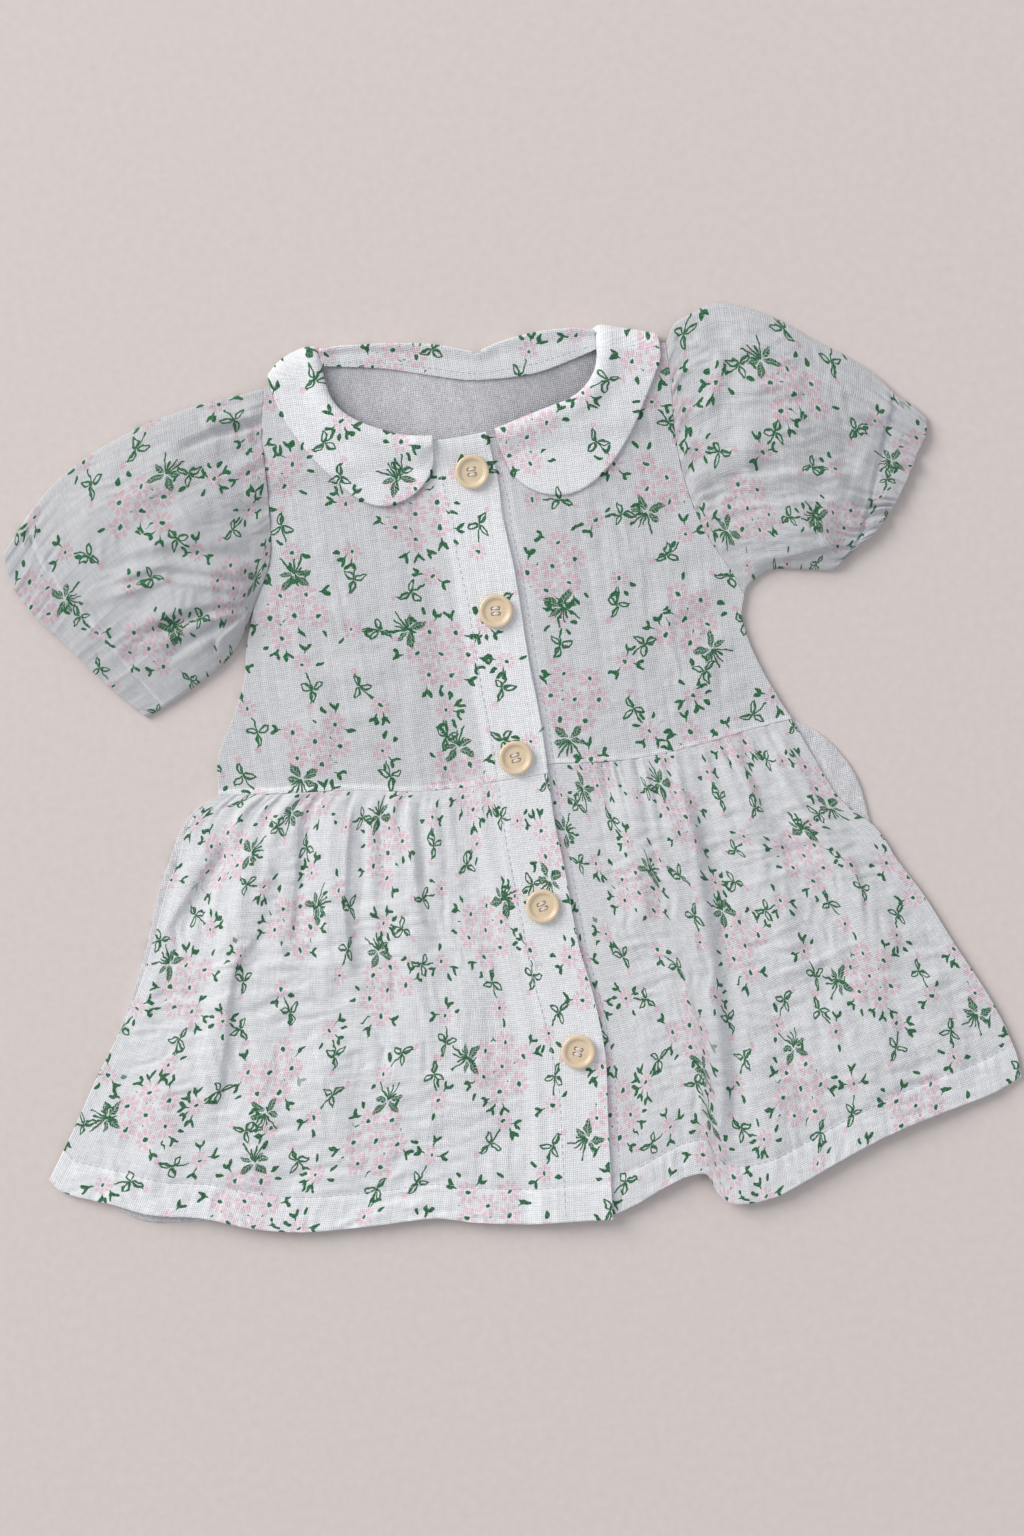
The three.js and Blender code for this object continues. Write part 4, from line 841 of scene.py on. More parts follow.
# %% The puff's profile and the sleeve's gathers
PUFF = np.array([[0, 0.5], [0.08, 2.5], [0.2, 6.2], [0.35, 9.6], [0.5, 10.2], [0.65, 7.8],
                 [0.77, 4.5], [0.86, 2.3], [0.92, 2.2], [1, 1.2]])
HEAD_GATHERS = np.array([0, 0, 0.5, 1, 1.3, 1.2, 1.4, 1])
CUFF_GATHERS = np.array([0.8, 1.2, 1, 1.3, 1.1, 1.3, 1, 0.8])
ELASTIC = 0.86       # share of the sleeve's length where the elastic lies
TURN_IN = 1.3        # how far the wall's inner face stays inside its side folds
SIDE_FOLD = 1.45     # height and half width of the rounded side folds


def puff_height(s):
    """Height between the table's rows: half a straight line and half an S-shaped step."""
    k = np.clip(np.searchsorted(PUFF[:, 0], s - 1e-9), 1, len(PUFF) - 1)
    t = (s - PUFF[k - 1, 0]) / (PUFF[k, 0] - PUFF[k - 1, 0])
    return lerp(PUFF[k - 1, 1], PUFF[k, 1], smooth(t) * 0.5 + 0.5 * t)


def crests(heights, t):
    """Equal crests side by side, each one a cosine from valley to valley."""
    k = np.clip((t * len(heights)).astype(int), 0, len(heights) - 1)
    return heights[k] * (0.5 - 0.5 * np.cos(2 * np.pi * t * len(heights)))


def sleeve_pleats(s, t, width, cuff_pleats, seed):
    """Narrow pleats across the sleeve, drawn by the armhole seam and by the elastic."""
    across = t * width + 2 * gauze_noise(t * width, s * 100, 20, 20, seed + 2)
    head = 0.6 * gauze_noise(across, s * 100, 2.6, 60, seed) * smooth(1 - s / 0.22)
    cuff = ((cuff_pleats * gauze_noise(across, s * 100, 2.1, 16, seed + 1)
             + 0.5 * cuff_pleats * gauze_noise(across, s * 100, 4.3, 30, seed + 6))
            * np.exp(-(np.minimum(s - ELASTIC, 0) / 0.13) ** 2))
    return head * smooth((t - 0.25) / 0.2) + cuff


def elastic_dip(s, across, seed):
    """The elastic pulls the cloth in along one narrow, uneven line, and the cloth behind it
    rolls over it."""
    off = s - ELASTIC - 0.008 * gauze_noise(across, s * 0, 9, 9, seed + 11)
    uneven = 0.75 + 0.5 * gauze_noise(across, s * 0, 3, 9, seed + 12)
    return uneven * (0.8 * np.exp(-((off / 0.014) ** 2))
                     - 0.55 * np.exp(-(((off + 0.024) / 0.011) ** 2)))


# %% One sleeve
TUBE_RIM_DRAW = ((0, 0.3), (1, 0.1))    # ring from either end, share of the way to the middle


def puff_sleeve(name, armhole, hem, upper, lower, folds, creases, seed, width, length,
                cuff_crests, cuff_pleats, thin_and_shaded, casing_and_highlight):
    """A ring at each s: its lower half lies on the floor and its upper half is puffed. The sleeve's
    tone is how opaque its single layer lies plus painted shade, and over the elastic a painted
    highlight on the doubled casing raises it."""
    plan = panel_plan(left=curve(armhole), right=curve(hem), bottom=curve(lower),
                      top=curve(upper))
    s = shares(118)
    close = np.array([0.0012, 0.004, 0.0085, 0.0135])
    t_up = np.concatenate([[0], close, np.linspace(0.02, 0.98, int(165 * FINE)),
                           1 - close[::-1], [1]])
    t_low = np.concatenate([[0], close, np.linspace(0.02, 0.98, 26), 1 - close[::-1], [1]])

    def heights(t):
        """Plan place, height over the cloth below, and roundness of the two side folds."""
        place = np.swapaxes(plan(s, t), 0, 1)
        x, y = place[..., 0], place[..., 1]
        S, T = s[:, None] + 0 * x, t[None, :] + 0 * x
        arch = np.sin(np.pi * T) ** 0.7
        head = crests(HEAD_GATHERS, T) * smooth(1 - S / 0.3) * (0.4 + 0.6 * smooth(S / 0.06))
        cuff = cuff_crests * crests(CUFF_GATHERS, T) * smooth((S - 0.62) / 0.2)
        crease = fold_height(folds, x, y) * smooth(S / 0.12) * smooth((0.84 - S) / 0.12)
        inner = smooth(np.minimum(T, 1 - T) / 0.06)
        fine = (sleeve_pleats(S, T, width, cuff_pleats, seed) + streaks(x, y, seed + 4)
                + fold_height(creases, x, y) - elastic_dip(S, T * width, seed)
                + 1.35 * crinkle(x, y, seed + 7) * smooth((0.84 - S) / 0.2)) * inner
        top = BACK_CLOTH + SEAM + CLOTH + (puff_height(S) + head + cuff + crease) * arch + fine
        spread = np.linalg.norm(place[:, -1:] - place[:, :1], axis=2)
        near = np.clip(np.minimum(T, 1 - T) * spread / SIDE_FOLD, 0, 1)
        return x, y, top, np.sqrt(1 - (1 - near) ** 2)

    x, y, top, bend = heights(t_up)
    ground = under_back(x, y)
    upper_face = np.dstack([x, y, ground + lerp(SIDE_FOLD, top, bend)])
    xl, yl, _, bend_low = heights(t_low)
    lower_face = np.dstack([xl, yl, under_back(xl, yl) + SIDE_FOLD * (1 - bend_low)])

    def inside(t):
        """Shares t, drawn in at both side folds by the inner face's distance."""
        place = np.swapaxes(plan(s, np.array([0.0, 1.0])), 0, 1)
        inset = TURN_IN / np.linalg.norm(place[:, 1] - place[:, 0], axis=1)[:, None]
        return lerp(inset, 1 - inset, t[None, :])

    def squeezed(face, t):
        """The same surface read a little further in, so the wall keeps its thickness."""
        ti = inside(t)
        out = np.empty_like(face)
        for k in range(3):
            for row in range(len(s)):
                out[row, :, k] = np.interp(ti[row], t, face[row, :, k])
        return out
    in_up = squeezed(upper_face, t_up)
    in_up[..., 2] = np.maximum(in_up[..., 2] - CLOTH,
                               under_back(in_up[..., 0], in_up[..., 1]) + BACK_CLOTH + 0.1)
    in_low = squeezed(lower_face, t_low)
    in_low[..., 2] = under_back(in_low[..., 0], in_low[..., 1]) + BACK_CLOTH
    once_round = lambda low, up: np.concatenate([low[:, :-1], up[:, :0:-1]], axis=1)
    outer, inner = once_round(lower_face, upper_face), once_round(in_low, in_up)
    for line, share in TUBE_RIM_DRAW:
        for end in (line, -1 - line):
            middle = (outer[end] + inner[end]) / 2
            outer[end] = lerp(outer[end], middle, share)
            inner[end] = lerp(inner[end], middle, share)
    flat = np.empty(outer.shape[:2] + (2,))
    flat[..., 0] = np.concatenate([2 - t_low[:-1], t_up[:0:-1]])[None] * width
    flat[..., 1] = s[:, None] * length
    SURFACES[name] = (t_up, s, upper_face)
    # The sleeve's tone: the opacity of its single layer with painted shade, plus a painted
    # highlight along the elastic's doubled casing.
    cover_and_shade = thin_and_shaded + casing_and_highlight * np.exp(-((s - ELASTIC - 0.006) / 0.008) ** 2)
    return wall(name, outer, inner, flat, (0, 1, 0), cover_and_shade[:, None], around=2 * width)


# %% Both sleeves
ARMHOLE_JOIN = 0.05
sleeve_right = puff_sleeve(
    "sleeve_right_gauze", moved(ARMHOLE_RIGHT, -ARMHOLE_JOIN, 0),
    hem=[[-158, 52], [-168, 63], [-177, 74], [-188, 89], [-200, 104], [-207, 118], [-209, 133]],
    upper=[[-84 - ARMHOLE_JOIN, 186.5], [-95, 185.5], [-111, 184.5], [-136, 180], [-156, 173.5],
           [-169, 168], [-182, 160], [-194, 149.5], [-203, 139.5], [-209, 133]],
    lower=[[-104 - ARMHOLE_JOIN, 92], [-108.5, 84], [-114, 76], [-122, 69], [-131, 64],
           [-145, 57], [-158, 52]],
    folds=[fold([[-92, 150], [-120, 140], [-150, 118], [-166, 98]], 1.6, 8, 7),
           fold([[-100, 104], [-118, 106], [-140, 98], [-158, 84]], 1.8, 6, 7),
           fold([[-96, 176], [-125, 164], [-160, 142], [-180, 124]], 1.2, 8, 8),
           fold([[-104, 94], [-120, 90], [-138, 80]], 1.2, 5, 5)],
    creases=[fold([[-97, 97], [-116, 103], [-139, 110], [-165, 106], [-178, 104]], 1.3, 2, 3),
             fold([[-101, 95], [-122, 97], [-141, 95], [-163, 90]], 1.3, 2, 3),
             fold([[-104, 91], [-122, 90], [-139, 85], [-152, 79]], 1.2, 2, 3),
             fold([[-108, 87], [-123, 81], [-137, 74]], 1.0, 2, 3),
             fold([[-95, 106], [-115, 111], [-134, 115], [-160, 113]], 1.0, 3, 3),
             fold([[-93, 120], [-112, 122], [-134, 124], [-158, 121]], 0.7, 3, 4),
             fold([[-97, 101], [-118, 106.5], [-140, 113], [-166, 109]], -1.6, 2, 2),
             fold([[-103, 93], [-122, 93], [-141, 90], [-160, 85]], -1.6, 2, 2),
             fold([[-106, 89], [-121, 86], [-136, 80], [-148, 74]], -1.3, 2, 2),
             fold([[-95, 113], [-114, 117], [-138, 122], [-170, 118]], -1.2, 2.4, 2.4),
             fold([[-128, 164.5], [-107, 169.6], [-81, 171.6]], -2.8, 2.6, 1.5),
             fold([[-114, 176], [-99, 175.6], [-86, 175]], 2.2, 4, 3),
             fold([[-118, 154], [-138, 150], [-156, 145]], 0.9, 5, 4),
             fold([[-149, 168], [-166, 148], [-178, 135]], 0.9, 6, 5),
             fold([[-199, 137], [-187, 118], [-175, 100], [-165, 87], [-155, 72]], 1.0, 1.6, 3.4),
             fold([[-101, 92], [-112, 86], [-121, 79], [-124, 72]], 1.4, 5, 1.2)],
    # The right sleeve's tone carries painted shade and a painted highlight along its elastic.
    seed=101, width=118, length=122, cuff_crests=0.2, cuff_pleats=0.45, thin_and_shaded=0.16,
    casing_and_highlight=0.28)
sleeve_left = puff_sleeve(
    "sleeve_left_gauze", moved(ARMHOLE_LEFT, ARMHOLE_JOIN, 0),
    hem=[[157, 76], [168, 80], [175, 86], [182, 94], [189, 104], [195, 114], [200, 122],
         [201, 129]],
    upper=[[93 + ARMHOLE_JOIN, 178.5], [98, 186.5], [106, 190], [117, 193], [128, 190],
           [144, 181], [159, 169], [171, 160.5], [183, 149.5], [191, 139.5], [197, 134],
           [201, 129]],
    lower=[[110 + ARMHOLE_JOIN, 64], [113, 68], [122, 73], [138, 71], [151, 69], [157, 76]],
    folds=[fold([[112, 132], [132, 122], [152, 112], [168, 104]], 2.2, 8, 6),
           fold([[106, 84], [122, 92], [140, 92], [156, 90]], 1.6, 7, 6),
           fold([[100, 160], [126, 158], [150, 146], [168, 132]], 1.4, 8, 8),
           fold([[98, 176], [112, 168], [120, 156]], 1.4, 6, 6)],
    creases=[fold([[96, 175], [107, 176], [115, 171], [112, 158], [106, 148], [94, 141]],
                  1.7, 4.5, 1.6),
             fold([[97, 181], [103, 177], [108, 179]], -1.4, 2, 2),
             fold([[117, 187], [117, 176], [117, 162], [109, 148]], -1.0, 4, 5),
             fold([[118, 117], [135, 116.5], [153, 113.8], [171, 110]], -3.6, 13, 2),
             fold([[95, 110], [110, 105.5], [129, 104], [150, 102], [160, 101]], -3.5, 11, 2.2),
             fold([[126, 132], [145, 134], [168, 131]], 1.1, 6, 5),
             fold([[104, 101], [122, 97], [140, 96], [156, 95]], -1.2, 4, 5),
             fold([[155, 106], [160, 101], [165, 97.5]], 1.0, 2, 2),
             fold([[166, 136.5], [175, 133.5], [183, 130]], 1.0, 2, 2.4),
             fold([[165, 144], [174, 139], [183, 132.5]], -1.0, 2, 2.2),
             fold([[160, 129], [170, 127], [180, 124.5]], 0.9, 2, 2),
             fold([[186, 140], [181.5, 132], [175, 120], [167.5, 110], [162, 98], [156, 86]],
                  0.5, 3.4, 1.6),
             fold([[118, 150], [134, 152], [150, 147]], 1.0, 5, 4),
             fold([[120, 168], [140, 162], [160, 150]], -1.0, 6, 5),
             fold([[108, 112], [118, 118], [128, 118]], -1.0, 3, 4),
             fold([[112, 88], [128, 86], [148, 88]], 1.0, 3, 4),
             fold([[111, 71], [122, 76], [131, 77.5], [141, 78.5], [158, 80]], 2.8, 7, 1.0)],
    # The left sleeve's tone carries painted shade, and no painted highlight on its elastic.
    seed=131, width=112, length=118, cuff_crests=0.45, cuff_pleats=1.5, thin_and_shaded=0.22,
    casing_and_highlight=0)

# %% [markdown]
# ## The Peter Pan collar
#
# Each half is one flat leaf sewn into the neckline, where it stands up in a small roll before it
# falls outwards. It lies on the front, folds over the shoulder, and its rear part is under the
# back. So each section has a turn: 0 degrees on the front and 180 under the back, and a point of
# the leaf swings round the shoulder with it.

# %% Collar sections: turn in degrees, then X and Y at the neck seam and at the outer edge
COLLAR_RIGHT = np.array([
    [0, -14.6, 151.5, -15.6, 143], [0, -17.5, 151.7, -18.5, 137], [0, -22, 152.5, -24, 131.5],
    [0, -28, 154, -32, 127.8], [0, -35, 157, -42, 127.2], [0, -42, 160.4, -51, 132],
    [0, -48.5, 164.5, -60, 142], [0, -54, 169.6, -69, 154.5], [0, -57.9, 176.3, -76.5, 169],
    [0, -59.6, 184, -80, 179.5], [0, -60, 191, -81, 184.5], [40, -60, 195, -80.8, 187],
    [90, -59.7, 197, -79.8, 188.4], [150, -58.6, 198, -79.2, 187.6],
    [180, -56.5, 197.9, -77.5, 181], [180, -50, 197.9, -72, 171.5], [180, -40, 196.8, -60, 165],
    [180, -28, 195.4, -43, 161], [180, -16, 193.4, -25, 159], [180, -5, 190.8, -8.5, 158.5],
    [180, 3.5, 187.7, 3.4, 161], [180, 7.2, 186.4, 7.6, 166], [180, 8.8, 185.8, 9, 173]])
COLLAR_LEFT = np.array([
    [0, 13.2, 150.4, 14.4, 142], [0, 16, 150.9, 17, 134], [0, 20.5, 152, 21, 127.5],
    [0, 26.5, 153.4, 28.5, 122], [0, 33.5, 155, 38, 119.6], [0, 40.5, 156.5, 47.5, 121],
    [0, 47.3, 158.1, 57, 126.5], [0, 53.5, 161, 65.5, 134.5], [0, 58.6, 165.3, 74, 145.5],
    [0, 62.4, 170.6, 82, 158.5], [0, 64.4, 176.4, 88.6, 170], [0, 65, 181, 90, 175],
    [40, 65, 184, 89.6, 178], [90, 64.9, 186.6, 88.5, 179.7], [150, 64, 187.9, 87.4, 179.2],
    [180, 61.4, 188.2, 85, 172], [180, 56, 189.6, 77.5, 163], [180, 47, 190, 64.5, 157],
    [180, 37, 190, 49.5, 153.5], [180, 27, 189.1, 34, 153.5], [180, 18.5, 187.6, 20.5, 156],
    [180, 14.2, 186.4, 14.8, 162], [180, 12.4, 185.9, 12.4, 169]])
ON_FRONT = COLLAR_GAP + COLLAR_CLOTH / 2
UNDER_BACK = LEAF_ROOM - COLLAR_CLOTH / 2
# The roll: mm from the seam, its height above the front, and the same where it goes under.
ROLL = np.array([
    [-1.6, -0.8, -2.3], [-1.9, 0.7, -0.8], [-1.4, 2, 0.6], [0.4, 3.1, UNDER_BACK],
    [3.4, 3.1, UNDER_BACK], [6.6, 2.1, UNDER_BACK], [10.5, 1.55, UNDER_BACK]])
LEAF = np.array([0.36, 0.68, 1])
LAST = len(ROLL) + len(LEAF) - 1


def spline_weights(count, at):
    """Weights of Catmull-Rom blending: each row says how far each control point counts."""
    k = np.clip(at.astype(int), 0, count - 2)
    t = at - k
    basis = np.stack([-t**3 + 2 * t**2 - t, 3 * t**3 - 5 * t**2 + 2,
                      -3 * t**3 + 4 * t**2 + t, t**3 - t**2], axis=1) / 2
    weights = np.zeros((len(at), count))
    for step in range(4):
        np.add.at(weights, (np.arange(len(at)), np.clip(k + step - 1, 0, count - 1)),
                  basis[:, step])
    return weights


# %% One half of the collar
def collar_leaf(name, sections, front_top, outwards, fold_room, seed):
    """Middle surface by blending sections, then half the cloth's thickness to either side."""
    reach = np.linalg.norm(np.diff(sections[:, 3:5], axis=0), axis=1)
    knots = np.concatenate([[0], np.cumsum(reach + 2)])
    spots = np.interp(np.linspace(0, knots[-1], int(190 * FINE)), knots, np.arange(len(knots)))
    rows = spline_weights(len(sections), spots) @ sections
    turn = np.radians(np.clip(rows[:, 0], 0, 180))[:, None]
    seam, rim = rows[:, None, 1:3], rows[:, None, 3:5]
    length = np.linalg.norm(rim - seam, axis=2)
    squeeze = np.minimum(1, length / 20)
    along = np.where(ROLL[None, :, 0] > 0, ROLL[None, :, 0] * squeeze, ROLL[None, :, 0])
    leaf = lerp(along[:, -1:], length, LEAF[None, :])
    along = np.concatenate([along, leaf], axis=1)
    front = np.concatenate([ROLL[:, 1], [ON_FRONT] * len(LEAF)])
    rear = np.concatenate([ROLL[:, 2], [UNDER_BACK] * len(LEAF)])
    at = np.unique(np.concatenate([np.linspace(0, LAST, int(46 * FINE)),
                                   [LAST - 0.04, LAST - 0.15]]))
    blend = spline_weights(LAST + 1, at)
    along, front, rear = along @ blend.T, (blend @ front)[None], (blend @ rear)[None]
    share = along / length
    on_top = (1 + np.cos(turn)) / 2
    height = lerp(rear, front, on_top)
    bulge = fold_room[0] + fold_room[1] * np.sin(np.pi * np.clip(share, 0, 1))
    out = np.sin(turn) * (height + bulge)
    place = lerp(seam, rim, share[..., None])
    x, y = place[..., 0], place[..., 1]
    soft = (0.25 * gauze_noise(x, y, 15, 11, seed) + 0.08 * gauze_noise(x, y, 3, 3, seed + 1)
            + 0.10 * gauze_noise(x, y, 5, 20, seed + 2)) * on_top
    z = lerp(under_back(x, y) - height, front_top(x, y) + height + soft, on_top)
    middle = np.dstack([x + outwards[0] * out, y + outwards[1] * out, z])
    normal = np.cross(np.gradient(middle, axis=0), np.gradient(middle, axis=1))
    normal /= np.linalg.norm(normal, axis=2, keepdims=True) + 1e-12
    half = COLLAR_CLOTH / 2
    from_rim = np.clip((length - along) / half, 0, 1)
    from_end = np.minimum(np.arange(len(spots)), np.arange(len(spots))[::-1])[:, None]
    round_off = np.sqrt(1 - (1 - from_rim) ** 2) * np.clip(0.55 + 0.45 * from_end, 0, 1)
    thick = half * np.clip(round_off, 0.3, 1)[..., None]
    return wall(name, middle + normal * thick, middle - normal * thick, place, (0, 0, 0), 0.86)


collar_right = collar_leaf("collar_right_gauze", COLLAR_RIGHT, right_front_top,
                           (-0.4, 0.917), (2.2, 3), 161)
collar_left = collar_leaf("collar_left_gauze", COLLAR_LEFT, left_front_top,
                          (0.259, 0.966), (2, 0.5), 171)

# %% [markdown]
# ## Five turned buttons
#
# A shirt button is cast from polyester resin and turned: a raised rim, a dished face and four
# holes, polished in a tumbler. Its section is a profile carried round the axis, and the holes
# are pressed into the dish as soft-edged wells, so that one closed grid makes the whole button.

# %% The button's surface
BUTTONS = {"button_1": (5, 0), "button_2": (0, -4), "button_3": (0, 9), "button_4": (0, 16),
           "button_5": (0, -24)}      # lean and turn in degrees
# Distance from the axis and height, from the dish's middle over the rim to the underside.
BUTTON_PROFILE = np.array([
    [0, 1.5], [2.4, 1.5], [4.6, 1.5], [5.0, 1.62], [5.4, 2.1], [5.8, 2.45], [6.3, 2.6],
    [6.9, 2.58], [7.25, 2.3], [7.46, 1.8], [7.5, 1.45], [7.35, 0.95], [7.0, 0.5], [6.2, 0.15],
    [5.2, 0], [2.4, 0], [0, 0]])
HOLE_X, HOLE_Y = 1.4, 1.2
HOLES = [(side * HOLE_X, end * HOLE_Y) for side in (-1, 1) for end in (-1, 1)]
HOLE_RADIUS, HOLE_EDGE, HOLE_FLOOR = 0.86, 0.22, 0.35
DISH_UNDERSIDE = 1.2     # only what lies above this height is sunk


def turned(points, lean, turn):
    """Points turned in their own plane, then leant towards the wearer's feet."""
    x, y, z = points.T
    a, b = math.radians(turn), math.radians(lean)
    x, y = x * math.cos(a) - y * math.sin(a), x * math.sin(a) + y * math.cos(a)
    return np.stack([x, y * math.cos(b) - z * math.sin(b), y * math.sin(b) + z * math.cos(b)],
                    axis=1)


# %% Five buttons at their places in the model
def button_mesh(name, node_name, lean, turn):
    """Profile points spaced by length, turned round Z, with four wells sunk in the dish."""
    profile = curve(BUTTON_PROFILE)(np.concatenate([
        np.linspace(0, 0.28, int(32 * FINE)), np.linspace(0.29, 1, int(38 * FINE))]))
    angle = np.linspace(0, 2 * np.pi, int(66 * FINE), endpoint=False)
    r, z = profile[:, :1], profile[:, 1:]
    r = np.maximum(r, 0.004)
    x, y = r * np.cos(angle), r * np.sin(angle)
    z = z + 0 * x
    for hole_x, hole_y in HOLES:
        gap = np.hypot(x - hole_x, y - hole_y)
        sunk = lerp(z, HOLE_FLOOR, smooth((HOLE_RADIUS - gap) / HOLE_EDGE))
        z = np.where(z > DISH_UNDERSIDE, sunk, z)
    points = turned(np.dstack([x, y, z]).reshape(-1, 3), lean, turn)
    points -= (points.max(axis=0) + points.min(axis=0)) / 2
    low_corner, high_corner = (np.array(c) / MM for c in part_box(node_name))
    centre = (low_corner + high_corner) / 2
    rows, cols = len(profile), len(angle)
    quads = grid_quads(rows, cols, True)[:, [0, 3, 2, 1]]
    caps = [list(range(cols)), list(range((rows - 1) * cols, rows * cols))[::-1]]
    return mesh_piece(name, points + centre, [*quads.tolist(), *caps]), centre


buttons = {node_name: button_mesh(node_name + "_turned", node_name, *angles)
           for node_name, angles in BUTTONS.items()}
print("buttons:", len(buttons), "each", len(buttons["button_1"][0].data.polygons), "faces")

# %% [markdown]
# ## Sewing thread
#
# Stitches are what tells the eye how large a garment is. A lockstitch shows as short beads of
# thread, here 2.2 mm long at a pitch of 3 mm. One bead is a spindle of a few dozen faces, and
# numpy copies it along each seam, turned to follow the line and laid on the cloth's own surface.

# %% Beads of thread along a line
STITCH, STITCH_PITCH = 2.2, 3.0
THREAD, THREAD_LIFT = 0.34, 0.02    # its thickness, and how far its middle stands off the cloth
BEAD_SIDES = BEAD_RINGS = 6


def resampled(line, pitch):
    """Points at an even pitch along a 3-D line, and the direction at each, which is the line's
    own between 0.8 mm before the point and 0.8 mm after it."""
    run = run_of(line)
    at = np.arange(pitch / 2, run[-1], pitch)
    way = read_at(line, run, at + 0.8) - read_at(line, run, at - 0.8)
    return read_at(line, run, at), way / np.linalg.norm(way, axis=1, keepdims=True)


def thread_beads(name, lines, bead=STITCH, pitch=STITCH_PITCH):
    """A spindle: radius THREAD/2 times the root of a half circle, ends sunk into the cloth."""
    t = np.linspace(-1, 1, BEAD_RINGS)
    a = np.linspace(0, 2 * np.pi, BEAD_SIDES, endpoint=False)
    radius = THREAD / 2 * np.sqrt(np.maximum(0.12, 1 - t**2))
    form = np.dstack([(t * bead / 2)[:, None] + 0 * a, radius[:, None] * np.cos(a),
                      radius[:, None] * np.sin(a) - 0.30 * THREAD * (t**2)[:, None]])
    form = form.reshape(-1, 3)
    place, way = (np.concatenate(p) for p in zip(*(resampled(line, pitch) for line in lines)))
    side = np.cross([0, 0, 1.0], way)
    side /= np.linalg.norm(side, axis=1, keepdims=True)
    up = np.cross(way, side)
    points = (place[:, None] + form[None, :, :1] * way[:, None]
              + form[None, :, 1:2] * side[:, None]
              + (form[None, :, 2:] + THREAD_LIFT) * up[:, None]).reshape(-1, 3)
    points[:, :2] += ORIGIN
    near = np.array([[3, 2, 1, 0], [5, 4, 3, 0]])
    far = np.array([[0, 1, 2, 3], [0, 3, 4, 5]]) + (BEAD_RINGS - 1) * BEAD_SIDES
    quads = np.concatenate([grid_quads(BEAD_RINGS, BEAD_SIDES, True), near, far])
    start = (np.arange(len(place)) * len(form))[:, None, None]
    print(f"{name}: {len(place)} stitches")
    return mesh_piece(name, points, (quads[None] + start).reshape(-1, 4))


# %% Lines on a panel
def across_rows(name, x_wanted, v_from, v_to):
    """The line on a panel where X has the wanted value in each row."""
    _, v, top = SURFACES[name]
    keep = (v >= v_from) & (v <= v_to)
    line = []
    for row in top[keep]:
        x = x_wanted(row[:, 1].mean())
        at = np.interp(x, row[:, 0], np.arange(len(row)))
        line.append([np.interp(at, np.arange(len(row)), row[:, k]) for k in range(3)])
    return np.array(line)


def along_row(name, v_at, u_from, u_to):
    """The line on a panel at one share of its height."""
    u, v, top = SURFACES[name]
    row = np.interp(v_at, v, np.arange(len(v)))
    k, t = int(row), row - int(row)
    line = lerp(top[k], top[min(k + 1, len(v) - 1)], t)
    return line[(u >= u_from) & (u <= u_to)]


# %% Seams and hems that show their stitches
def strip_lines(part, right_to, left_to):
    """The stitch lines of the two strips of the bodice or the skirt."""
    return [across_rows(part + "_front_right_gauze",
                        lambda y: strip_x(y) - PLACKET + STITCH_IN, 0.01, right_to),
            across_rows(part + "_front_left_gauze",
                        lambda y: strip_x(y) + STITCH_BESIDE, 0.01, left_to)]


hem_lines = [along_row("skirt_front_right_gauze", hem_share, 0.01, 0.87),
             along_row("skirt_front_left_gauze", hem_share, 0.2, 0.99)]
cuff_lines = [along_row(f"sleeve_{side}_gauze", ELASTIC + off, 0.03, 0.97)
              for side in ("right", "left") for off in (-0.013, 0.016)]
facing_lines = [along_row("neck_facing_gauze", 0.24, 0.03, 0.97)]
stitches = [
    thread_beads("stitches_bodice", strip_lines("bodice", 0.9, 0.93)),
    thread_beads("stitches_skirt", strip_lines("skirt", 0.99, 0.99) + hem_lines),
    thread_beads("stitches_facing", facing_lines, bead=1.8, pitch=2.5),
    thread_beads("stitches_cuffs", cuff_lines, bead=2.0, pitch=2.8)]

# %% Thread through the buttons: two bars, three strands each
STRAND_STEPS, STRAND_SIDES, STRAND_RADIUS = 13, 8, 0.19
BUTTON_MIDDLE = [0, 0, 1.3]      # half of a button's thickness, about which it leans


def button_thread(name, centre, lean, turn):
    """Each strand arches from hole to hole: its height is a half sine over the dish."""
    a = np.linspace(0, np.pi, STRAND_STEPS)
    lines = []
    for end in (-1, 1):
        for strand in (-1, 0, 1):
            x = -1.55 * np.cos(a)
            y = end * HOLE_Y + strand * 0.27 * np.sin(a) + 0 * a
            z = 0.9 + (1.15 - 0.12 * abs(strand)) * np.sin(a)
            lines.append(np.stack([x, y, z], axis=1))
    rings = []
    for line in lines:
        way = np.gradient(line, axis=0)
        way /= np.linalg.norm(way, axis=1, keepdims=True)
        side = np.tile([0, 1.0, 0], (len(line), 1))
        up = np.cross(way, side)
        b = np.linspace(0, 2 * np.pi, STRAND_SIDES, endpoint=False)
        rings.append(line[:, None] + STRAND_RADIUS * (np.cos(b)[None, :, None] * side[:, None]
                                                      + np.sin(b)[None, :, None] * up[:, None]))
    points = turned(np.array(rings).reshape(-1, 3) - BUTTON_MIDDLE, lean, turn) + centre
    tube = grid_quads(STRAND_STEPS, STRAND_SIDES, True)[:, ::-1].tolist()
    near = list(range(STRAND_SIDES))
    far = [(STRAND_STEPS - 1) * STRAND_SIDES + n for n in near[::-1]]
    faces = [[strand * STRAND_STEPS * STRAND_SIDES + n for n in face]
             for strand in range(len(lines)) for face in (*tube, near, far)]
    return mesh_piece(name, points, faces)


threads = [button_thread(node_name + "_thread", centre, *BUTTONS[node_name])
           for node_name, (_, centre) in buttons.items()]

# %% [markdown]
# ## Materials
#
# Nodes are added by one small function, so a line reads as a step of arithmetic. Colours are
# written as sRGB hex values, the way a dyer's card gives them, and turned to linear light once.

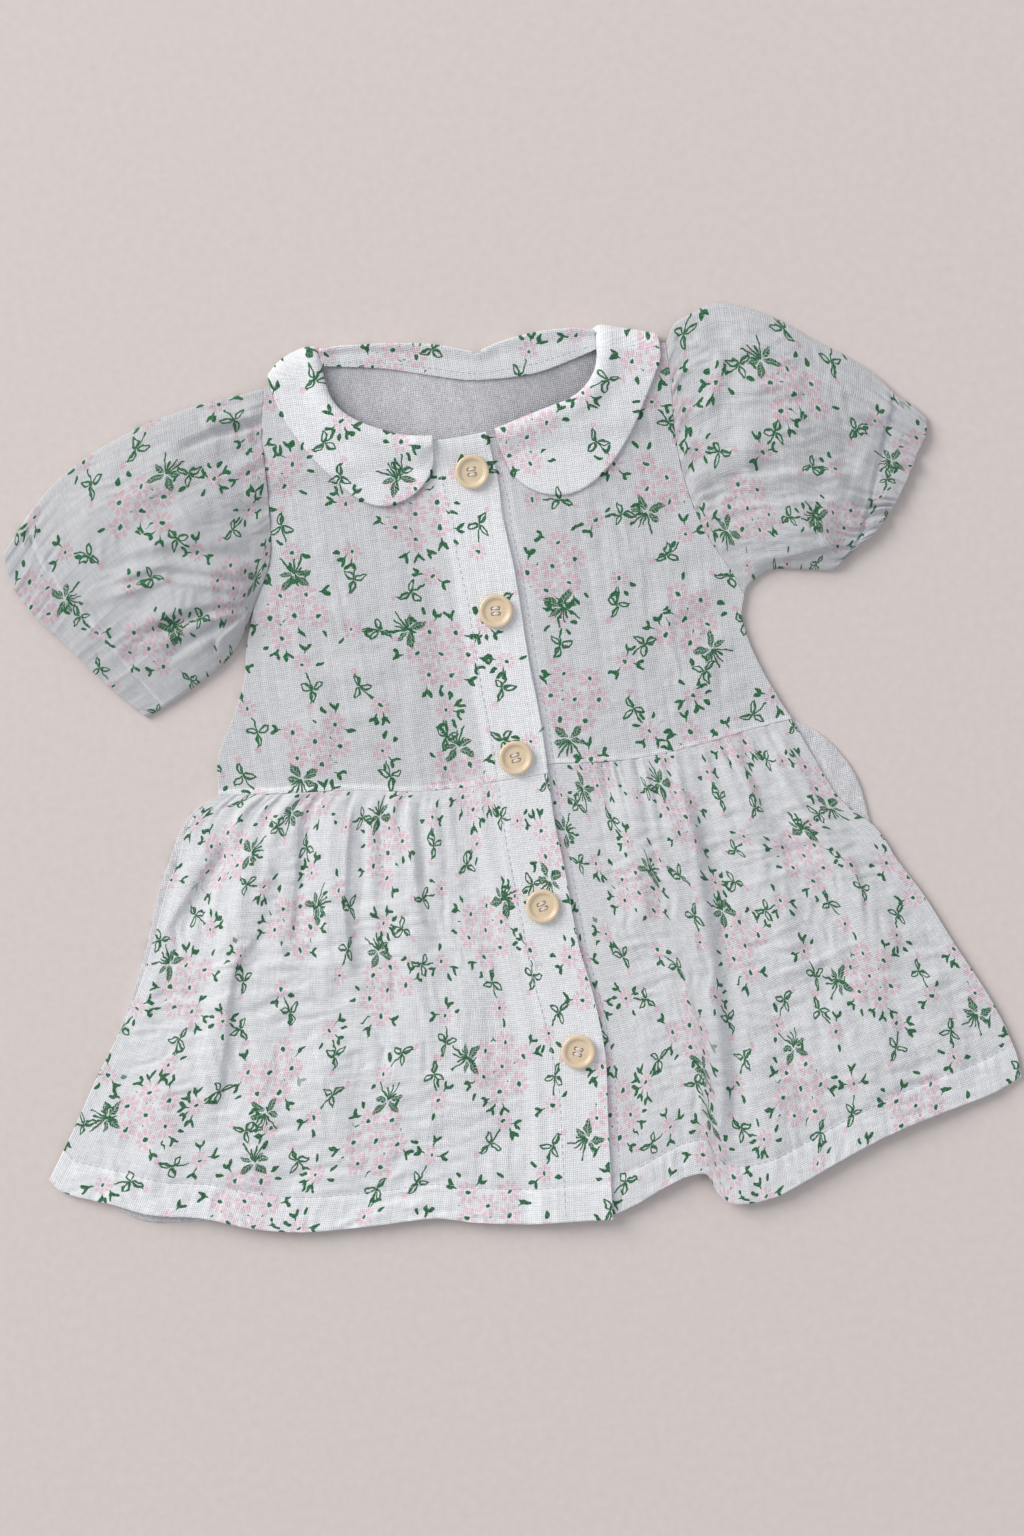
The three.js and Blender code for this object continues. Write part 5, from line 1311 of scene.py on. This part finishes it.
# %% Colours and nodes
def linear(hex_colour):
    """sRGB to linear light: c / 12.92 below 0.04045, else ((c + 0.055) / 1.055) ** 2.4."""
    c = [int(hex_colour[k:k + 2], 16) / 255 for k in (1, 3, 5)]
    return (*[v / 12.92 if v <= 0.04045 else ((v + 0.055) / 1.055) ** 2.4 for v in c], 1)


def add(tree, kind, *inputs, at=None, out=0, **settings):
    """Adds a node with its settings. inputs go to its sockets in order, or at gives them by
    name or number: a socket is linked, a value is set and None is left alone. A kind in
    capitals, such as SINE, is that operation of a Math node."""
    if kind.isupper():
        kind, settings["operation"] = "Math", kind
    node = tree.nodes.new("ShaderNode" + kind)
    for key, value in settings.items():
        setattr(node, key, value)
    for key, given in (at or dict(enumerate(inputs))).items():
        if isinstance(given, bpy.types.NodeSocket):
            tree.links.new(given, node.inputs[key])
        elif given is not None:
            node.inputs[key].default_value = given
    return node.outputs[out] if node.outputs else None


def new_material(name):
    """A material with an empty node tree, and the tree."""
    material = bpy.data.materials.new(name)
    material.use_nodes = True
    material.node_tree.nodes.clear()
    return material, material.node_tree


def finish_shader(tree, colour, bump, **fixed):
    """One principled surface; fixed values go straight onto its own sockets."""
    fixed = {key.replace("_", " "): value for key, value in fixed.items()}
    surface = add(tree, "BsdfPrincipled", at={"Base Color": colour, "Normal": bump, **fixed})
    add(tree, "OutputMaterial", surface)


# A Mix node of colours has its share in socket 0 and the two colours in sockets 6 and 7.
COLOUR_MIX = {"data_type": "RGBA", "out": 2}

# %% [markdown]
# ## The print
#
# A floral print like this is rolled on by screens, one colour at a time: pink petals, then green
# leaves. Its repeat is a half-drop, where each column of bouquets starts half a step lower than
# the last. The nodes do the same: the cloth is cut into cells, each cell gets a turn of its own,
# and inside it everything is drawn with distances and angles in real millimetres.

# %% Where the bouquets and sprigs fall
REPEAT = (57.0, 60.0)          # mm across and along the cloth
PINK = (1.03, 0.72, 0.79)      # share of each light the pink ink lets the cloth send back
GREEN = linear("#006233")
# Cloth tones from dark to light: at the dark end a single layer and painted shade, at the light end
# doubled cloth and painted light; the inside's two tones are its painted shade and its lit tone.
GAUZE_THIN_AND_SHADED, GAUZE_DOUBLED_AND_LIT = linear("#C2C2C5"), linear("#F4F5F8")
INSIDE_SHADED, INSIDE_LIT = linear("#AEAEB4"), linear("#DEDDE0")
BOUQUET = ((0.2, -0.6), (-5.9, 8.0), (5.2, 8.8), (-10.6, -1.8), (10.9, -1.0), (-5.4, -10.6),
           (6.4, -10.9))       # flowers about its middle, the last one not in every bouquet
SPRIGS = ((0.0, 30.0), (28.5, 15.0), (28.5, -15.0))   # in the gaps between the bouquets
# Leaves and petals: where their middle is along the stem, half their length and half their width
PETAL, PETALS, EYE = (3.9, 1.9, 1.15), 8, 1.15
TWIG_LEAF, TWIG_STEM, TWIGS = (1.9, 1.75, 0.85), (0.3, 2.2, 0.45), 9
TREFOIL_LEAF = (3.1, 2.9, 1.6)

# %% One cell of the repeat
def motif(tree, place, offset, jitter, seed):
    """A cell of the half-drop repeat: its random colour, and the place in the motif's own frame.
    The cell's corner is column times width and row less half a drop times height."""
    place = add(tree, "VectorMath", place, (*offset, 0.0), operation="SUBTRACT")
    split = add(tree, "SeparateXYZ",
                add(tree, "VectorMath", place, (*REPEAT, 1.0), operation="DIVIDE"))
    column = add(tree, "FLOOR", split)
    drop = add(tree, "MULTIPLY", add(tree, "FLOORED_MODULO", column, 2.0), 0.5)
    row = add(tree, "FLOOR", add(tree, "ADD", split.node.outputs[1], drop))
    chance = add(tree, "TexWhiteNoise", add(tree, "CombineXYZ", column, row, float(seed)), out=1,
                 noise_dimensions="3D")
    corner = add(tree, "CombineXYZ", column, add(tree, "SUBTRACT", row, drop), 0.0)
    middle = add(tree, "VectorMath", corner, (*REPEAT, 0.0),
                 ((REPEAT[0] - jitter) / 2, (REPEAT[1] - jitter) / 2, 0.0),
                 operation="MULTIPLY_ADD")
    middle = add(tree, "VectorMath", chance, (jitter, jitter, 0.0), middle,
                 operation="MULTIPLY_ADD")
    luck = add(tree, "SeparateXYZ", chance)
    turn = add(tree, "MULTIPLY", luck.node.outputs[2], 2 * math.pi)
    local = add(tree, "VectorRotate", add(tree, "VectorMath", place, middle, operation="SUBTRACT"),
                None, None, turn, rotation_type="Z_AXIS")
    return chance, luck, local


# %% Drawing with distances and angles
def edge_mask(tree, value, limit, soft):
    """1 below the limit and 0 above it, over a soft edge as wide as ink creeps in gauze."""
    return add(tree, "MapRange", value, limit - soft, limit + soft, 1.0, 0.0,
               interpolation_type="SMOOTHSTEP")


def polar(tree, vector):
    """Distance from the vector's origin, and the angle from its Y axis, from -pi to pi."""
    split = add(tree, "SeparateXYZ", vector)
    angle = add(tree, "ARCTAN2", split, split.node.outputs[1])
    return add(tree, "VectorMath", vector, operation="LENGTH", out=1), angle


def spokes(tree, distance, angle, count):
    """Repeats a drawing round a point: which spoke, and the distance sideways from its axis."""
    turn = add(tree, "MULTIPLY_ADD", angle, count / (2 * math.pi), 0.5)
    index = add(tree, "FLOOR", turn)
    off = add(tree, "SUBTRACT", add(tree, "SUBTRACT", turn, index), 0.5)
    sideways = add(tree, "MULTIPLY", add(tree, "MULTIPLY", off, distance), 2 * math.pi / count)
    return index, sideways


def oval(tree, along, sideways, middle, half_long, half_wide):
    """Squared distance from an oval's middle in its own half-lengths: 1 on its outline."""
    a = add(tree, "DIVIDE", add(tree, "SUBTRACT", along, middle), half_long)
    b = add(tree, "DIVIDE", sideways, half_wide)
    return add(tree, "MULTIPLY_ADD", a, a, add(tree, "MULTIPLY", b, b))


def leaf_shape(tree, along, sideways, middle, half_long, half_wide):
    """Pointed leaf: sideways distance over its width plus the square of the way along."""
    a = add(tree, "DIVIDE", add(tree, "SUBTRACT", along, middle), half_long)
    b = add(tree, "DIVIDE", add(tree, "ABSOLUTE", sideways), half_wide)
    return add(tree, "MULTIPLY_ADD", a, a, b)


def larger(tree, *masks):
    """The largest of any number of masks: ink wherever one of them has ink."""
    result = masks[0]
    for mask in masks[1:]:
        result = add(tree, "MAXIMUM", result, mask)
    return result


def times(tree, *masks):
    """The product of any number of masks: ink only where all of them have ink."""
    result = masks[0]
    for mask in masks[1:]:
        result = add(tree, "MULTIPLY", result, mask)
    return result


# %% Flowers and twigs
def nearest(tree, local, chart, luck):
    """Vector from the nearest flower of a chart, and its number. The last one grows only where
    luck is above a half: elsewhere it is taken to be far away."""
    best = add(tree, "VectorMath", local, (*chart[0], 0.0), operation="SUBTRACT")
    least = add(tree, "VectorMath", best, operation="LENGTH", out=1)
    number = 0.0
    for k, spot in enumerate(chart[1:], 1):
        near = add(tree, "VectorMath", local, (*spot, 0.0), operation="SUBTRACT")
        gap = add(tree, "VectorMath", near, operation="LENGTH", out=1)
        if k == len(chart) - 1:
            gap = add(tree, "MULTIPLY_ADD", add(tree, "LESS_THAN", luck, 0.5), 99.0, gap)
        closer = add(tree, "LESS_THAN", gap, least)
        best = add(tree, "Mix", at={0: closer, 6: best, 7: near}, **COLOUR_MIX)
        least = add(tree, "MINIMUM", gap, least)
        number = add(tree, "MULTIPLY_ADD", closer, add(tree, "SUBTRACT", float(k), number), number)
    return best, number


def daisy(tree, distance, angle, size, spin):
    """Petals wider outside, their width as distance ** 0.6, with white between them, and a
    green eye. Returns pink and green."""
    _, sideways = spokes(tree, distance, add(tree, "MULTIPLY_ADD", spin, 6.28, angle), PETALS)
    middle, half_long, half_wide = (size * length for length in PETAL)
    blunt = add(tree, "POWER", add(tree, "DIVIDE", middle, distance), 0.6)
    petal = oval(tree, distance, times(tree, sideways, blunt), middle, half_long, half_wide)
    return edge_mask(tree, petal, 1.0, 0.2), edge_mask(tree, distance, EYE * size, 0.2)


def twigs(tree, distance, angle, chance, number, start, share):
    """Small leaves in a ring round a flower, single or in pairs on a stem, some left out."""
    pick, sideways = spokes(tree, distance, angle, TWIGS)
    toss = add(tree, "TexWhiteNoise", chance, add(tree, "MULTIPLY_ADD", number, 40.0, pick),
               out=1, noise_dimensions="4D")
    tossed = add(tree, "SeparateXYZ", toss)
    out = add(tree, "SUBTRACT", add(tree, "SUBTRACT", distance, start),
              add(tree, "MULTIPLY", tossed, 1.6))
    paired = add(tree, "GREATER_THAN", tossed.node.outputs[2], 0.45)
    apart = times(tree, paired, add(tree, "MULTIPLY_ADD", out, 0.5, 0.2))
    fork = add(tree, "SUBTRACT", add(tree, "ABSOLUTE", sideways), apart)
    leaf = edge_mask(tree, oval(tree, out, fork, *TWIG_LEAF), 1.0, 0.2)
    stem = edge_mask(tree, leaf_shape(tree, out, sideways, *TWIG_STEM), 1.0, 0.3)
    return times(tree, larger(tree, leaf, times(tree, stem, paired)),
                 edge_mask(tree, tossed.node.outputs[1], share, 0.01))


# %% A bouquet: packed daisies, twigs round about, and a tie of leaves and stems
TIE_STEMS = (17, 7.6, 2.4, 0.92)     # spokes, length and its spread in mm, fan in radians
TIE_LEAVES = ((2.3, 4.6, 3.9, 1.75), (1.3, 4.0, 3.0, 1.2))


def leaf_tie(tree, vector):
    """Stems in a fan towards +Y and two pairs of veined leaves, each at its own angle."""
    distance, upright = polar(tree, vector)
    count, long, spread, fan = TIE_STEMS
    pick, sideways = spokes(tree, distance, upright, count)
    uneven = add(tree, "SINE", add(tree, "MULTIPLY", pick, 2.4))
    past = add(tree, "SUBTRACT", distance, add(tree, "MULTIPLY_ADD", uneven, spread, long))
    stems = times(tree, edge_mask(tree, add(tree, "ABSOLUTE", sideways), 0.42, 0.16),
                  edge_mask(tree, past, 0.0, 0.3),
                  edge_mask(tree, add(tree, "ABSOLUTE", upright), fan, 0.01))
    either_side = add(tree, "ABSOLUTE", add(tree, "ADD", upright, 0.14))
    blades = [stems]
    for lean, middle, half_long, half_wide in TIE_LEAVES:
        swing = add(tree, "SUBTRACT", either_side, lean)
        along, sideways = (times(tree, add(tree, wave, swing), distance)
                           for wave in ("COSINE", "SINE"))
        blade = edge_mask(tree, leaf_shape(tree, along, sideways, middle, half_long, half_wide),
                          1.0, 0.1)
        off = add(tree, "ABSOLUTE", sideways)
        slant = add(tree, "MULTIPLY_ADD", off, -0.9, along)
        veins = larger(tree, edge_mask(tree, off, 0.12, 0.1),
                       edge_mask(tree, add(tree, "FLOORED_MODULO", slant, 1.4), 0.24, 0.14))
        blades.append(times(tree, blade, add(tree, "MULTIPLY_ADD", veins, -0.6, 1.0)))
    return larger(tree, *blades)


def bouquet(tree, place):
    """Pink and green of all the bouquets: each is seven daisies or six, in a turn of its own."""
    chance, luck, local = motif(tree, place, (0.0, 0.0), 7.0, 3)
    flower_at, number = nearest(tree, local, BOUQUET, luck)
    distance, angle = polar(tree, flower_at)
    spin = add(tree, "MULTIPLY_ADD", number, 0.37, luck)
    pink, eye = daisy(tree, distance, angle, 0.87, spin)
    ring = twigs(tree, distance, angle, chance, number, 6.0, 0.38)
    tie = leaf_tie(tree, add(tree, "VectorMath", local, (-0.3, -17.0, 0.0)))
    return pink, larger(tree, eye, ring, tie)


# %% A sprig: one daisy with twigs, a trefoil of outlined leaves, a stem and a bud
def sprig(tree, place, offset, seed):
    """Pink and green of one set of sprigs; seed gives each set its own turns and places."""
    chance, luck, local = motif(tree, place, offset, 5.0, seed)
    distance, angle = polar(tree, add(tree, "VectorMath", local, (-0.6, -4.6, 0.0)))
    pink, eye = daisy(tree, distance, angle, 0.7, luck)
    ring = twigs(tree, distance, angle, chance, 0.0, 4.4, 0.34)

    distance, angle = polar(tree, add(tree, "VectorMath", local, (1.4, 7.4, 0.0)))
    _, sideways = spokes(tree, distance, add(tree, "ADD", angle, 0.6), 3)
    form = leaf_shape(tree, distance, sideways, *TREFOIL_LEAF)
    outline = add(tree, "ABSOLUTE", add(tree, "SUBTRACT", form, 0.7))
    trefoil = edge_mask(tree, outline, 0.3, 0.14)
    split = add(tree, "SeparateXYZ", local)
    up = split.node.outputs[1]
    off = add(tree, "MULTIPLY_ADD", add(tree, "MULTIPLY", up, up), 0.03, split)
    reach = add(tree, "ABSOLUTE", add(tree, "ADD", up, 6.2))
    stem = times(tree, edge_mask(tree, add(tree, "ABSOLUTE", off), 0.42, 0.15),
                 edge_mask(tree, reach, 6.4, 0.2))
    from_bud = add(tree, "VectorMath", add(tree, "VectorMath", local, (5.6, 13.6, 0.0)),
                   operation="LENGTH", out=1)
    bud = edge_mask(tree, from_bud, 1.4, 0.2)
    return larger(tree, pink, bud), larger(tree, eye, ring, trefoil, stem)


# %% [markdown]
# ## Printed double gauze
#
# Gauze is a loose plain weave of fine cotton, about 20 threads to the centimetre. That is finer
# than this picture can show, so the weave is drawn at 0.9 mm. Ink sits on the crowns of the
# threads and misses the gaps, which breaks every petal and leaf into small flecks. Cotton is
# rough, with a soft fuzz that a little sheen gives.

# %% The weave
WEAVE = 0.9      # mm from thread to thread, drawn coarser than the real half millimetre


def cloth_place(tree):
    """The cloth's own flat coordinates in millimetres, from the UV map."""
    return add(tree, "VectorMath", add(tree, "UVMap", uv_map="cloth"), (1000.0, 1000.0, 0.0),
               operation="MULTIPLY")


def weave_bump(tree, place, strength):
    """Crossed threads: one ripple across and one along, uneven like a hand-spun yarn."""
    slub = add(tree, "TexNoise", place, None, 0.45, 2.0, noise_dimensions="2D")
    split = add(tree, "SeparateXYZ", place)
    ripples = []
    for axis in (0, 1):
        wave = add(tree, "MULTIPLY_ADD", split.node.outputs[axis], 2 * math.pi / WEAVE,
                   add(tree, "MULTIPLY", slub, 5.0))
        ripples.append(add(tree, "SINE", wave))
    threads_height = add(tree, "ADD", ripples[0], ripples[1])
    fuzz = add(tree, "TexNoise", place, None, 1.6, 3.0, noise_dimensions="2D")
    height = add(tree, "MULTIPLY_ADD", fuzz, 4.0, threads_height)
    return add(tree, "Bump", strength, 0.12 * MM, None, height), fuzz


# %% The two faces of the cloth
# Stretch and depth of the ribs across and the slubs along, on the face and on the inside.
FACE_LINES = (((0.16, 1.2, 0.0), 0.05), ((1.1, 0.03, 0.0), 0.05))
INSIDE_LINES = (((0.4, 1.7, 0.0), 0.08), ((1.7, 0.4, 0.0), 0.11), ((0.2, 0.1, 0.0), 0.06))


def gauze_material(name, printed):
    """Tint by how opaque the cloth lies together with painted shade and painted highlight, then the
    two inks if printed, then ribs and slubs.
    """
    material, tree = new_material(name)
    place = cloth_place(tree)
    bump, fuzz = weave_bump(tree, place, 0.6)
    cover_and_shade = add(tree, "Attribute", out=2, attribute_name="layers_and_shade")
    if printed:
        sway = add(tree, "TexNoise", place, None, 0.25, 1.0, out=1, noise_dimensions="2D")
        drift = add(tree, "VectorMath", sway, (2.4, 2.4, 0.0),
                    add(tree, "VectorMath", place, (-1.2, -1.2, 0.0)), operation="MULTIPLY_ADD")
        pinks, greens = zip(bouquet(tree, drift), *[sprig(tree, drift, offset, seed)
                                                    for seed, offset in enumerate(SPRIGS, 8)])
        pink = times(tree, larger(tree, *pinks), add(tree, "MapRange", fuzz, 0.36, 0.62, 1.0, 0.7))
        green = times(tree, larger(tree, *greens),
                      add(tree, "MapRange", fuzz, 0.42, 0.7, 1.0, 0.82))
        tint = add(tree, "Mix", at={0: cover_and_shade, 6: GAUZE_THIN_AND_SHADED, 7: GAUZE_DOUBLED_AND_LIT}, **COLOUR_MIX)
        inked = add(tree, "VectorMath", tint, PINK, operation="MULTIPLY")
        tint = add(tree, "Mix", at={0: pink, 6: tint, 7: inked}, **COLOUR_MIX)
        tint = add(tree, "Mix", at={0: green, 6: tint, 7: GREEN}, **COLOUR_MIX)
    else:
        tint = add(tree, "Mix", at={0: cover_and_shade, 6: INSIDE_SHADED, 7: INSIDE_LIT}, **COLOUR_MIX)
    for stretch, depth in FACE_LINES if printed else INSIDE_LINES:
        stretched = add(tree, "VectorMath", place, stretch, operation="MULTIPLY")
        lines = add(tree, "TexNoise", stretched, None, 1.0, 2.0, noise_dimensions="2D")
        tint = add(tree, "VectorMath", tint, None, None,
                   add(tree, "MapRange", lines, 0.32, 0.68, 1 - depth, 1 + depth),
                   operation="SCALE")
    finish_shader(tree, tint, bump, Roughness=0.92, Sheen_Weight=0.25, Sheen_Roughness=0.5,
                  IOR=1.46, Specular_IOR_Level=0.2)
    return material


PRINTED = gauze_material("printed_cotton_double_gauze", True)
PLAIN = gauze_material("plain_cotton_gauze_inside", False)
print("nodes in the print:", len(PRINTED.node_tree.nodes))

# %% [markdown]
# ## Resin and thread
#
# The buttons are cast polyester, tinted like pale horn and tumbled until they shine, so they are
# smooth, very slightly clear and sharp in their highlights. Thread is twisted cotton-covered
# polyester: matt, with a fine slant from the twist.

# %% Button resin
resin, tree = new_material("tumbled_polyester_resin")
place = add(tree, "TexCoord", out=3)
cloud = add(tree, "TexNoise", place, None, 140.0, 3.0)
tint = add(tree, "Mix", at={0: cloud, 6: linear("#DDC4A2"), 7: linear("#EBD9BD")}, **COLOUR_MIX)
swirl = add(tree, "Bump", 0.12, 0.05 * MM, None, add(tree, "TexNoise", place, None, 900.0, 2.0))
finish_shader(tree, tint, swirl, Roughness=0.24, IOR=1.54,
              Subsurface_Weight=0.08, Subsurface_Scale=0.0015, Coat_Weight=0.3,
              Coat_Roughness=0.08)

# %% Sewing thread: lilac-grey in the seams, white through the buttons
def thread_material(name, dark, light):
    """Two shades and a small relief, both from one noise as fine as the twist."""
    material, tree = new_material(name)
    twist = add(tree, "TexNoise", add(tree, "TexCoord", out=3), None, 2600.0, 2.0)
    slant = add(tree, "Bump", 0.3, 0.06 * MM, None, twist)
    tint = add(tree, "Mix", at={0: twist, 6: linear(dark), 7: linear(light)}, **COLOUR_MIX)
    finish_shader(tree, tint, slant, Roughness=0.75, Sheen_Weight=0.15, IOR=1.5)
    return material


seam_cotton = thread_material("twisted_seam_thread", "#A6A8BA", "#C4C6D4")
button_cotton = thread_material("twisted_button_thread", "#D9D6DB", "#F4F1F4")

# %% [markdown]
# ## Handing the pieces to the model
#
# The dress has no joints: cloth bends everywhere, and its buttons stay fastened. So every piece
# rides on the one body, and each takes the place of its plain solid.

# %% Materials, bodies and what each piece replaces
cloth_pieces = {
    "bodice_front_right": front_right, "bodice_front_left": front_left, "bodice_back": back,
    "neck_facing": facing, "skirt_front_right": skirt_right, "skirt_front_left": skirt_left,
    "skirt_back": skirt_back, "sleeve_right": sleeve_right, "sleeve_left": sleeve_left,
    "collar_right": collar_right, "collar_left": collar_left}
for node_name, piece in cloth_pieces.items():
    piece.data.materials.append(PRINTED)
    piece.data.materials.append(PLAIN)
    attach(piece, "root")
    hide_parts(node_name)
for node_name, (piece, _) in buttons.items():
    piece.data.materials.append(resin)
    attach(piece, "root")
    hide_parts(node_name)
for piece in [*stitches, *threads]:
    piece.data.materials.append(button_cotton if piece in threads else seam_cotton)
    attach(piece, "root")

# %% [markdown]
# ## Floor, light and camera
#
# The dress was laid on a plain pale surface and seen from straight above, turned a little. A
# long lens keeps the edges true. One large soft light stands to the upper left, low enough to
# rake across the crinkle, and a weaker one fills the shadows from the other side.

# %% The floor
bpy.ops.mesh.primitive_plane_add(size=6)
floor = bpy.context.active_object
floor.name = "floor"
ground, tree = new_material("matt_plaster_floor")
place = add(tree, "TexCoord", out=3)
grain = add(tree, "TexNoise", place, None, 260.0, 4.0)
tint = add(tree, "Mix", at={0: grain, 6: linear("#D5CAC6"), 7: linear("#E1D7D3")}, **COLOUR_MIX)
finish_shader(tree, tint, None, Roughness=0.95)
floor.data.materials.append(ground)
floor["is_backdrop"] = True

# %% The lights
def soft_light(name, place, aim, size, power, colour):
    """A round lamp that faces the point it aims at, its turn worked out from the two angles."""
    lamp = bpy.data.lights.new(name, "AREA")
    lamp.shape, lamp.size, lamp.energy = "DISK", size, power
    lamp.color = linear(colour)[:3]
    holder = bpy.data.objects.new(name, lamp)
    holder.location = place
    away = np.array(place) - np.array(aim)
    holder.rotation_euler = (math.atan2(math.hypot(away[0], away[1]), away[2]), 0,
                             math.atan2(away[1], away[0]) + math.pi / 2)
    bpy.context.scene.collection.objects.link(holder)


soft_light("window_upper_left", (-3.8, 3.5, 3.4), (0, 0, 0), 4.3, 308, "#FFFDFA")
soft_light("fill_lower_right", (1.6, -1.2, 1.9), (0, 0, 0), 2.2, 6, "#F4F7FF")
world = bpy.data.worlds.new("soft_room")
world.use_nodes = True
background = world.node_tree.nodes["Background"]
background.inputs[0].default_value = linear("#EFF2F6")
background.inputs[1].default_value = 0.54
bpy.context.scene.world = world

# %% The camera, straight down
VIEW_LONG, VIEW_MIDDLE = 675.8, (-2.8, 4.9)    # mm of floor along the view, and its middle
TURN = -9.0
lens = bpy.data.cameras.new("overhead")
lens.lens, lens.sensor_width, lens.clip_end = 85.0, 36.0, 20.0
camera = bpy.data.objects.new("overhead", lens)
x, y = np.array(VIEW_MIDDLE) + ORIGIN
camera.location = (x * MM, y * MM, lens.lens * VIEW_LONG / lens.sensor_width * MM)
camera.rotation_euler = (0, 0, math.radians(TURN))
bpy.context.scene.collection.objects.link(camera)
bpy.context.scene.camera = camera
bpy.context.scene.view_settings.view_transform = "Standard"

# %% [markdown]
# ## Measure and finish
#
# Last, the size of the dressed model is printed, as the size of the CAD model was at the start,
# so the two can be compared.

# %% Sizes printed
finished = [list(corner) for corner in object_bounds()]
print("visual box in mm:", [[round(c * 1000, 1) for c in corner] for corner in finished])
